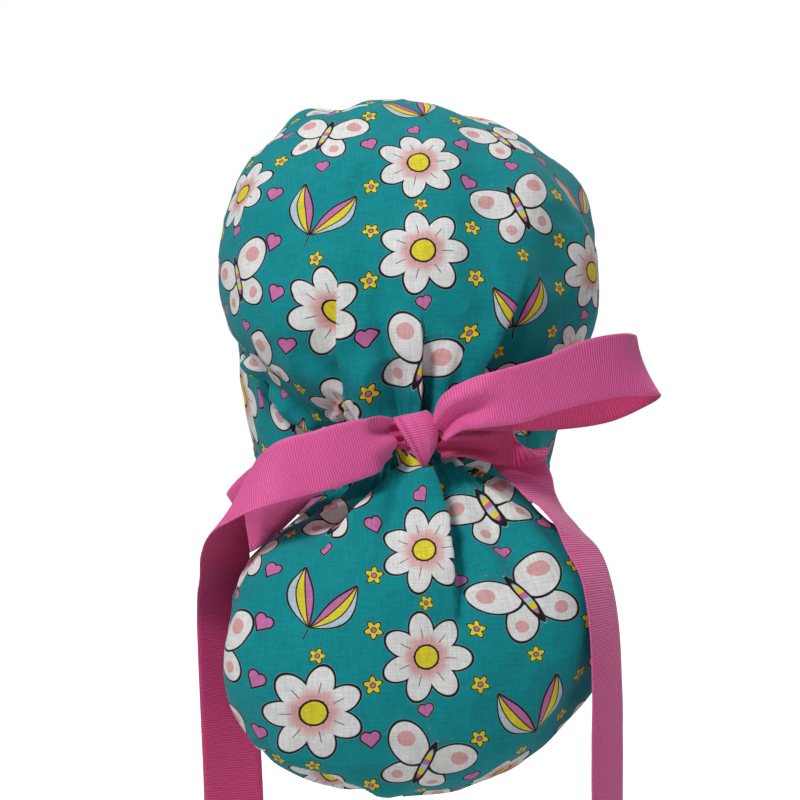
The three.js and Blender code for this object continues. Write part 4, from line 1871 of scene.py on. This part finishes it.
@dataclass(frozen=True)
class Stitching:
    """Row of machine stitches along a closed line, made with Geometry Nodes."""

    spacing: float = 3.2 * MM
    length: float = 2.5 * MM
    thickness: float = 0.5 * MM
    sink: float = 0.1 * MM

    def tree(self) -> Tree:
        """Geometry Nodes tree that sets a stitch at each step of a line.

        Returns:
            The tree.
        """
        tree = bpy.data.node_groups.new("stitch_row", "GeometryNodeTree")
        tree.interface.new_socket("Geometry", in_out="INPUT", socket_type="NodeSocketGeometry")
        for label in ("Spacing", "Length", "Thickness"):
            tree.interface.new_socket(label, in_out="INPUT", socket_type="NodeSocketFloat")
        tree.interface.new_socket("Thread", in_out="INPUT", socket_type="NodeSocketMaterial")
        tree.interface.new_socket("Geometry", in_out="OUTPUT", socket_type="NodeSocketGeometry")
        w = NodeWriter(tree)
        source, out = w.node("NodeGroupInput"), w.node("NodeGroupOutput")
        curve = w.node("GeometryNodeMeshToCurve")
        w.put(curve.inputs["Mesh"], source.outputs["Geometry"])
        spaced = w.node("GeometryNodeResampleCurve", mode="LENGTH")
        w.put(spaced.inputs["Curve"], curve.outputs["Curve"])
        w.put(spaced.inputs["Length"], source.outputs["Spacing"])
        tangent = w.node("GeometryNodeInputTangent")
        turned = w.node("FunctionNodeAlignRotationToVector", axis="X")
        w.put(turned.inputs["Vector"], tangent.outputs["Tangent"])
        ball = w.node("GeometryNodeMeshIcoSphere")
        ball.inputs["Radius"].default_value = 0.5
        ball.inputs["Subdivisions"].default_value = 2
        placed = w.node("GeometryNodeInstanceOnPoints")
        w.put(placed.inputs["Points"], spaced.outputs["Curve"])
        w.put(placed.inputs["Instance"], ball.outputs["Mesh"])
        w.put(placed.inputs["Rotation"], turned.outputs["Rotation"])
        thickness = source.outputs["Thickness"]
        w.put(placed.inputs["Scale"], w.join(source.outputs["Length"], thickness, thickness))
        real = w.node("GeometryNodeRealizeInstances")
        w.put(real.inputs["Geometry"], placed.outputs["Instances"])
        dressed = w.node("GeometryNodeSetMaterial")
        w.put(dressed.inputs["Geometry"], real.outputs["Geometry"])
        w.put(dressed.inputs["Material"], source.outputs["Thread"])
        w.put(out.inputs["Geometry"], dressed.outputs["Geometry"])
        return tree

    def build(self, name: str, line: Array, thread: Material) -> Object:
        """Stitches along a closed line as a plain mesh.

        Args:
            name: Name of the object.
            line: Points of the line.
            thread: Material of the thread.

        Returns:
            The object.
        """
        mesh = bpy.data.meshes.new(name)
        count = len(line)
        mesh.from_pydata(line.tolist(), [(i, (i + 1) % count) for i in range(count)], [])
        made = linked(name, mesh)
        tree = self.tree()
        modifier = made.modifiers.new("stitches", "NODES")
        modifier.node_group = tree
        values = {
            "Spacing": self.spacing,
            "Length": self.length,
            "Thickness": self.thickness,
            "Thread": thread,
        }
        for item in tree.interface.items_tree:
            if item.in_out == "INPUT" and item.name in values:
                modifier[item.identifier] = values[item.name]
        seen = made.evaluated_get(bpy.context.evaluated_depsgraph_get())
        plain = bpy.data.meshes.new_from_object(seen)
        made.modifiers.clear()
        made.data = plain
        made.data.name = name
        plain.polygons.foreach_set("use_smooth", [True] * len(plain.polygons))
        return made


def knot_middle(neck: NeckSizes, sizes: RibbonSizes) -> Array:
    """Middle of the knot on the ribbon round the neck.

    Args:
        neck: Sizes of the neck.
        sizes: Sizes of the ribbon.

    Returns:
        The point.
    """
    return np.array(
        [
            sizes.knot_shift,
            neck.nape_y - neck.reach * math.cos(neck.angle) - sizes.knot_out,
            neck.nape_z + neck.reach * math.sin(neck.angle) + sizes.knot_rise,
        ]
    )


class RibbonPiece:
    """Ribbon strips, knot and the turn round the neck."""

    def __init__(self, sizes: RibbonSizes, neck: NeckSizes, material: Material) -> None:
        """Keep the sizes and the finish.

        Args:
            sizes: Sizes of the ribbon.
            neck: Sizes of the neck.
            material: Finish.
        """
        self.sizes = sizes
        self.neck = neck
        self.material = material

    def route(self, table: Sequence[Sequence[float]]) -> tuple[Array, Array, Array, Array]:
        """Even steps along a strip's stations.

        Args:
            table: Stations: place from the knot, side direction and open share.

        Returns:
            Middles, side directions, open shares and distances run.
        """
        columns = np.array(table, dtype=float).T
        places = np.linspace(0, len(table) - 1, 60 * len(table))
        smooth_columns = [curve_value(column, places) for column in columns]
        middles = np.stack(smooth_columns[:3], axis=-1) * MM + knot_middle(self.neck, self.sizes)
        steps = np.linalg.norm(np.diff(middles, axis=0), axis=-1)
        run = np.concatenate([[0], np.cumsum(steps)])
        count = int(run[-1] / (self.sizes.rib_pitch / self.sizes.steps_per_rib))
        even = np.linspace(0, run[-1], count)
        at = np.interp(even, run, places)
        columns = [curve_value(column, at) for column in np.array(table, dtype=float).T]
        middles = np.stack(columns[:3], axis=-1) * MM + knot_middle(self.neck, self.sizes)
        tangent = unit(np.gradient(middles, axis=0))
        side = np.stack(columns[3:6], axis=-1)
        side = unit(side - (side * tangent).sum(-1, keepdims=True) * tangent)
        return middles, side, columns[6], even

    def strip(
        self, name: str, table: Sequence[Sequence[float]], looped: bool, shaded_top: bool
    ) -> Object:
        """Ribbon strip with a crimped stretch near the knot.

        Args:
            name: Name of the object.
            table: Its stations.
            looped: Whether it comes back to the knot.
            shaded_top: Whether its first face is the reverse, which is painted darker as shade.

        Returns:
            The object.
        """
        sizes = self.sizes
        middles, side, full, run = self.route(table)
        facing = unit(np.cross(unit(np.gradient(middles, axis=0)), side))
        across = np.linspace(-1, 1, sizes.columns)
        width = sizes.width * full
        crimp = np.sqrt(np.maximum(1 / full - 1, 0)) * width / (math.pi * sizes.crimp_waves)
        crimp = np.minimum(crimp, sizes.crimp_height) * (1 - smooth(0.8, 0.97, full))
        far_end = run[-1] if looped else 1.0
        from_knot = np.minimum(run, np.abs(far_end - run))
        crimp = crimp * (1 - smooth(sizes.crimp_start, sizes.crimp_end, from_knot))
        wave = np.sin(across[None, :] * math.pi * sizes.crimp_waves + 0.5)
        arch = sizes.arch * (across[None, :] ** 2) * smooth(0.8, 1, full)[:, None]
        height = crimp[:, None] * wave - arch
        sheet = middles[:, None] + side[:, None] * (across[None, :, None] * width[:, None, None] / 2)
        sheet = sheet + facing[:, None] * height[..., None]
        return self.thick(name, sheet, run, across, shaded_top=shaded_top)

    def thick(
        self,
        name: str,
        sheet: Array,
        run: Array,
        across: Array,
        closed: bool = False,
        shaded_top: bool = False,
    ) -> Object:
        """Thin body round a sheet of points.

        Args:
            name: Name of the object.
            sheet: Points by rows along and columns across.
            run: Distance run at each row.
            across: Place across at each column, -1 to 1.
            closed: Whether the last row joins the first.
            shaded_top: Whether its first face is the reverse, which is painted darker as shade.

        Returns:
            The object.
        """
        along = np.gradient(sheet, axis=0)
        if closed:
            along = (np.roll(sheet, -1, 0) - np.roll(sheet, 1, 0)) / 2
        facing = unit(np.cross(along, np.gradient(sheet, axis=1)))
        count = len(sheet)
        rib = 0.5 + 0.5 * np.sin(run * 2 * math.pi / self.sizes.rib_pitch)[:, None, None]
        half = facing * (self.sizes.thickness / 2 + self.sizes.rib_height * (rib - 0.5))
        edge = self.sizes.edge_share
        side_out = unit(sheet[:, -1] - sheet[:, -2]) * self.sizes.thickness * edge
        side_in = unit(sheet[:, 0] - sheet[:, 1]) * self.sizes.thickness * edge
        top = sheet + half
        bottom = (sheet - half)[:, ::-1]
        rings = np.concatenate(
            [top, (sheet[:, -1] + side_out)[:, None], bottom, (sheet[:, 0] + side_in)[:, None]], axis=1
        )
        turns = rings.shape[1]
        points = rings.reshape(-1, 3)
        half_width = self.sizes.width / 2 / MM
        columns = np.concatenate([across, [1.02], across[::-1], [-1.02]]) * half_width
        # Painted shade: 1 marks the face that takes the darker reverse colours, 0 the lit face, and the
        # edges get half.
        shaded = np.concatenate([across * 0, [0.5], across * 0 + 1, [0.5]])
        if shaded_top:
            shaded = 1 - shaded
        places = np.broadcast_arrays(run[:, None] / MM, columns[None, :], shaded[None, :])
        places = np.stack(places, axis=-1).reshape(-1, 3)
        faces = ring_faces(count, turns, closed, True)
        if not closed:
            faces.append(list(range(turns)))
            faces.append(list(range(count * turns - 1, (count - 1) * turns - 1, -1)))
        made = mesh_object(name, points, faces)
        write_places(made, RIBBON_PLACE, places)
        made.data.materials.append(self.material)
        return made

    def knot(self) -> Object:
        """Knot: one ribbon turn rolled over the crossing."""
        centre = knot_middle(self.neck, self.sizes)
        places = np.linspace(0, len(KNOT_TURN) - 1, self.sizes.knot_rows)
        rise, left, right, out = (curve_value(c, places) * MM for c in np.array(KNOT_TURN).T)
        across = np.linspace(-1, 1, self.sizes.knot_columns)
        share = (across[None, :] + 1) / 2
        x = left[:, None] + (right - left)[:, None] * share
        bead = 1.3 * MM * np.exp(-(((share - 0.07) / 0.07) ** 2))
        bead = bead - 0.9 * MM * np.exp(-(((share - 0.24) / 0.1) ** 2))
        bead = bead + 0.5 * MM * np.sin(share * 9 + 0.6) * smooth(0.2, 0.5, share)
        round_off = 5.0 * MM * share**4 + 1.2 * MM * (1 - share) ** 6
        y = -out[:, None] - bead + round_off
        z = rise[:, None] + 2.6 * MM * (share - 0.4)
        sheet = centre + np.stack(np.broadcast_arrays(x, y, z), axis=-1)
        middle = sheet[:, self.sizes.knot_columns // 2]
        steps = np.linalg.norm(np.diff(middle, axis=0), axis=-1)
        run = np.concatenate([[0], np.cumsum(steps)])
        return self.thick("knot_turn", sheet, run, across)

    def wrap(self, crown: Crown, pouch: Pouch) -> Object:
        """Turn of ribbon round the gathered neck, drawn in between crown and pouch.

        Args:
            crown: The crown.
            pouch: The pouch.

        Returns:
            The object.
        """
        turns = self.sizes.wrap_steps
        turn = np.arange(turns) * (2 * math.pi / turns)
        lines = []
        rows = 400
        gap = self.sizes.wrap_gap + self.sizes.thickness / 2
        for panel, shares in ((crown, (0.1, 0.055, 0.009)), (pouch, (0.033, 0.075))):
            grid = panel.grid(rows, turns)
            for row in (round(share * rows) for share in shares):
                lines.append(grid.points[row] + grid.facing[row] * gap)
        columns = self.sizes.wrap_columns
        across = np.linspace(-1, 1, columns)
        spread = np.linspace(0, len(lines) - 1, columns)
        table = np.stack(lines)
        away = unit(table[2] - table[2].mean(axis=0))
        sheet = np.empty((turns, columns, 3))
        for column, place in enumerate(spread):
            i = min(int(place), len(lines) - 2)
            sheet[:, column] = table[i] + (table[i + 1] - table[i]) * (place - i)
            pleat = 1 + np.cos(across[column] * math.pi * 2.5 + 0.5 * np.sin(turn))
            sheet[:, column] += away * (self.sizes.wrap_pleat * pleat)[:, None]
        steps = np.linalg.norm(np.diff(sheet[:, columns // 2], axis=0), axis=-1)
        run = np.concatenate([[0], np.cumsum(steps)])
        return self.thick("neck_turn", sheet, run, across, closed=True)


class Studio:
    """Pale floor, soft lights and the camera at the photo's angle."""

    camera_place: tuple[float, float, float] = (-0.08660, -1.09433, 0.07165)
    camera_aim: tuple[float, float, float] = (-0.00041, 0.00077, 0.01408)
    lens: float = 105.3
    sensor: float = 36.0
    sky_light: float = 0.13
    floor_glow: float = 0.9
    floor_half: float = 6.0
    floor_drop: float = 0.03
    lights: tuple = (
        ("key", (-0.8, -1.0, 1.2), 0.4, 18.0),
        ("fill", (1.2, -1.3, 0.1), 1.0, 2.2),
        ("top", (0.1, 0.3, 1.5), 1.0, 6.0),
        ("rim", (1.1, 0.9, 0.6), 0.8, 4.0),
    )

    def build(self) -> None:
        """Camera, floor, lights and world."""
        self.camera()
        self.floor()
        for name, place, size, power in self.lights:
            self.light(name, place, size, power)
        world = bpy.data.worlds.new("studio_world")
        bpy.context.scene.world = world
        world.use_nodes = True
        sky = world.node_tree.nodes["Background"]
        sky.inputs["Color"].default_value = (1, 1, 1, 1)
        w = NodeWriter(world.node_tree)
        seen = w.node("ShaderNodeLightPath").outputs["Is Camera Ray"]
        w.put(sky.inputs["Strength"], w.mul_add(seen, 1 - self.sky_light, self.sky_light))
        bpy.context.scene.view_settings.view_transform = "Standard"

    def camera(self) -> None:
        """Camera at the photo's viewing angle."""
        data = bpy.data.cameras.new("camera")
        data.lens = self.lens
        data.sensor_width = self.sensor
        data.clip_start = 0.05
        made = linked("camera", data)
        made.location = self.camera_place
        aim = Vector(self.camera_aim) - Vector(self.camera_place)
        made.rotation_euler = aim.to_track_quat("-Z", "Y").to_euler()
        bpy.context.scene.camera = made

    def light(self, name: str, place: tuple, size: float, power: float) -> None:
        """Soft square light that faces the cap.

        Args:
            name: Its name.
            place: Where it stands.
            size: Length of its side.
            power: Its power in watts.
        """
        data = bpy.data.lights.new(name, "AREA")
        data.shape = "SQUARE"
        data.size = size
        data.energy = power
        made = linked(name, data)
        made.location = place
        made.rotation_euler = (-Vector(place)).to_track_quat("-Z", "Y").to_euler()

    def floor(self) -> None:
        """Wide pale floor, lit as seen so that it runs into the white behind it."""
        low = CAD_BOX[0][2] - self.floor_drop
        half = self.floor_half
        points = np.array([(-half, -half, low), (half, -half, low), (half, half, low), (-half, half, low)])
        made = mesh_object("floor", points, [[0, 1, 2, 3]])
        material, w, surface = new_material("floor_paint")
        surface.inputs["Base Color"].default_value = (0.8, 0.8, 0.8, 1)
        surface.inputs["Roughness"].default_value = 0.9
        surface.inputs["Emission Color"].default_value = (1, 1, 1, 1)
        seen = w.node("ShaderNodeLightPath").outputs["Is Camera Ray"]
        w.put(surface.inputs["Emission Strength"], w.mul(seen, self.floor_glow))
        made.data.materials.append(material)


def sheet_area(made: Object) -> float:
    """Area of one face of a thin body."""
    return sum(polygon.area for polygon in made.data.polygons) / 2


class ScrubCap:
    """The whole cap: builds each piece and hides the CAD part that it replaces."""

    wall: float = 1.2 * MM
    band_wall: float = 1.8 * MM
    turns: int = 420
    crown_flat: tuple[float, float] = (0.40, 0.22)
    pouch_flat: tuple[float, float] = (0.32, 0.22)
    band_flat: tuple[float, float] = (0.52, 0.062)
    ribbon_width: float = 0.026
    knot_length: float = 0.022
    wrap_length: float = 0.13
    rim_stitch_inset: float = 0.05
    seam_stitch_share: float = 0.11

    def __init__(self) -> None:
        """Make the finishes and the panels."""
        self.finishes = Finishes.make()
        self.neck = NeckSizes()
        turns = self.turns
        self.crown = Crown("crown_cloth", 168, turns, self.wall, self.neck, CROWN_FOLDS)
        self.pouch = Pouch("pouch_cloth", 156, turns, self.wall, self.neck, POUCH_FOLDS)
        self.band = Band("band_cloth", 64, turns, self.band_wall, self.neck, [], crown=self.crown)

    def attach(self, made: Object, node: str) -> None:
        """Attach a piece to the root, hide the CAD node that it replaces and log its faces and sheet area.

        Args:
            made: The piece.
            node: Node that it replaces.
        """
        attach(made, ROOT)
        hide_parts(node)
        LOG.info("%s: %d faces, %.4f m2", made.name, len(made.data.polygons), sheet_area(made))

    def cloth(self) -> None:
        """Crown, pouch and band."""
        crown = ClothPiece(self.crown, self.finishes).build()
        self.attach(crown, "crown")
        pouch = ClothPiece(self.pouch, self.finishes).build(capped=True)
        self.attach(pouch, "pouch")
        band = ClothPiece(self.band, self.finishes).build()
        self.attach(band, "band")
        self.stitches()

    def stitches(self) -> None:
        """Hem stitches round the rim and top stitches below the crown's seam."""
        grid = self.band.grid(self.band.rows, self.band.turns)
        lift, _ = self.band.folded(grid)
        stitching = Stitching()
        rows = (
            ("rim_stitches", self.band.hem_share + self.rim_stitch_inset),
            ("seam_stitches", self.seam_stitch_share),
        )
        for name, share in rows:
            row = round(share * self.band.rows)
            line = grid.points[row] + grid.facing[row] * (lift[row] + stitching.sink)[:, None]
            made = stitching.build(name, line, self.finishes.thread)
            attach(made, ROOT)
            LOG.info("%s: %d faces", made.name, len(made.data.polygons))

    def bow(self) -> None:
        """Loops, tails, knot and the turn round the neck."""
        ribbon = RibbonPiece(RibbonSizes(), self.neck, self.finishes.ribbon)
        for name, table, held, shaded_top in (
            ("loop_left", LOOP_LEFT, Held.FOLDED, False),
            # The right loop takes the darker reverse colours, painted shade, on its first face instead of
            # its second.
            ("loop_right", LOOP_RIGHT, Held.FOLDED, True),
            ("tail_left", TAIL_LEFT, Held.HUNG, False),
            ("tail_right", TAIL_RIGHT, Held.HUNG, False),
        ):
            made = ribbon.strip(name + "_ribbon", table, held is Held.FOLDED, shaded_top)
            self.attach(made, name)
        knot = ribbon.knot()
        self.attach(knot, "ribbon_knot")
        wrap = ribbon.wrap(self.crown, self.pouch)
        self.attach(wrap, "ribbon_wrap")


def main() -> None:
    """Build the studio and the cap."""
    logging.basicConfig(level=logging.INFO, format="%(message)s")
    Studio().build()
    cap = ScrubCap()
    cap.cloth()
    cap.bow()


if __name__ == "__main__":
    main()
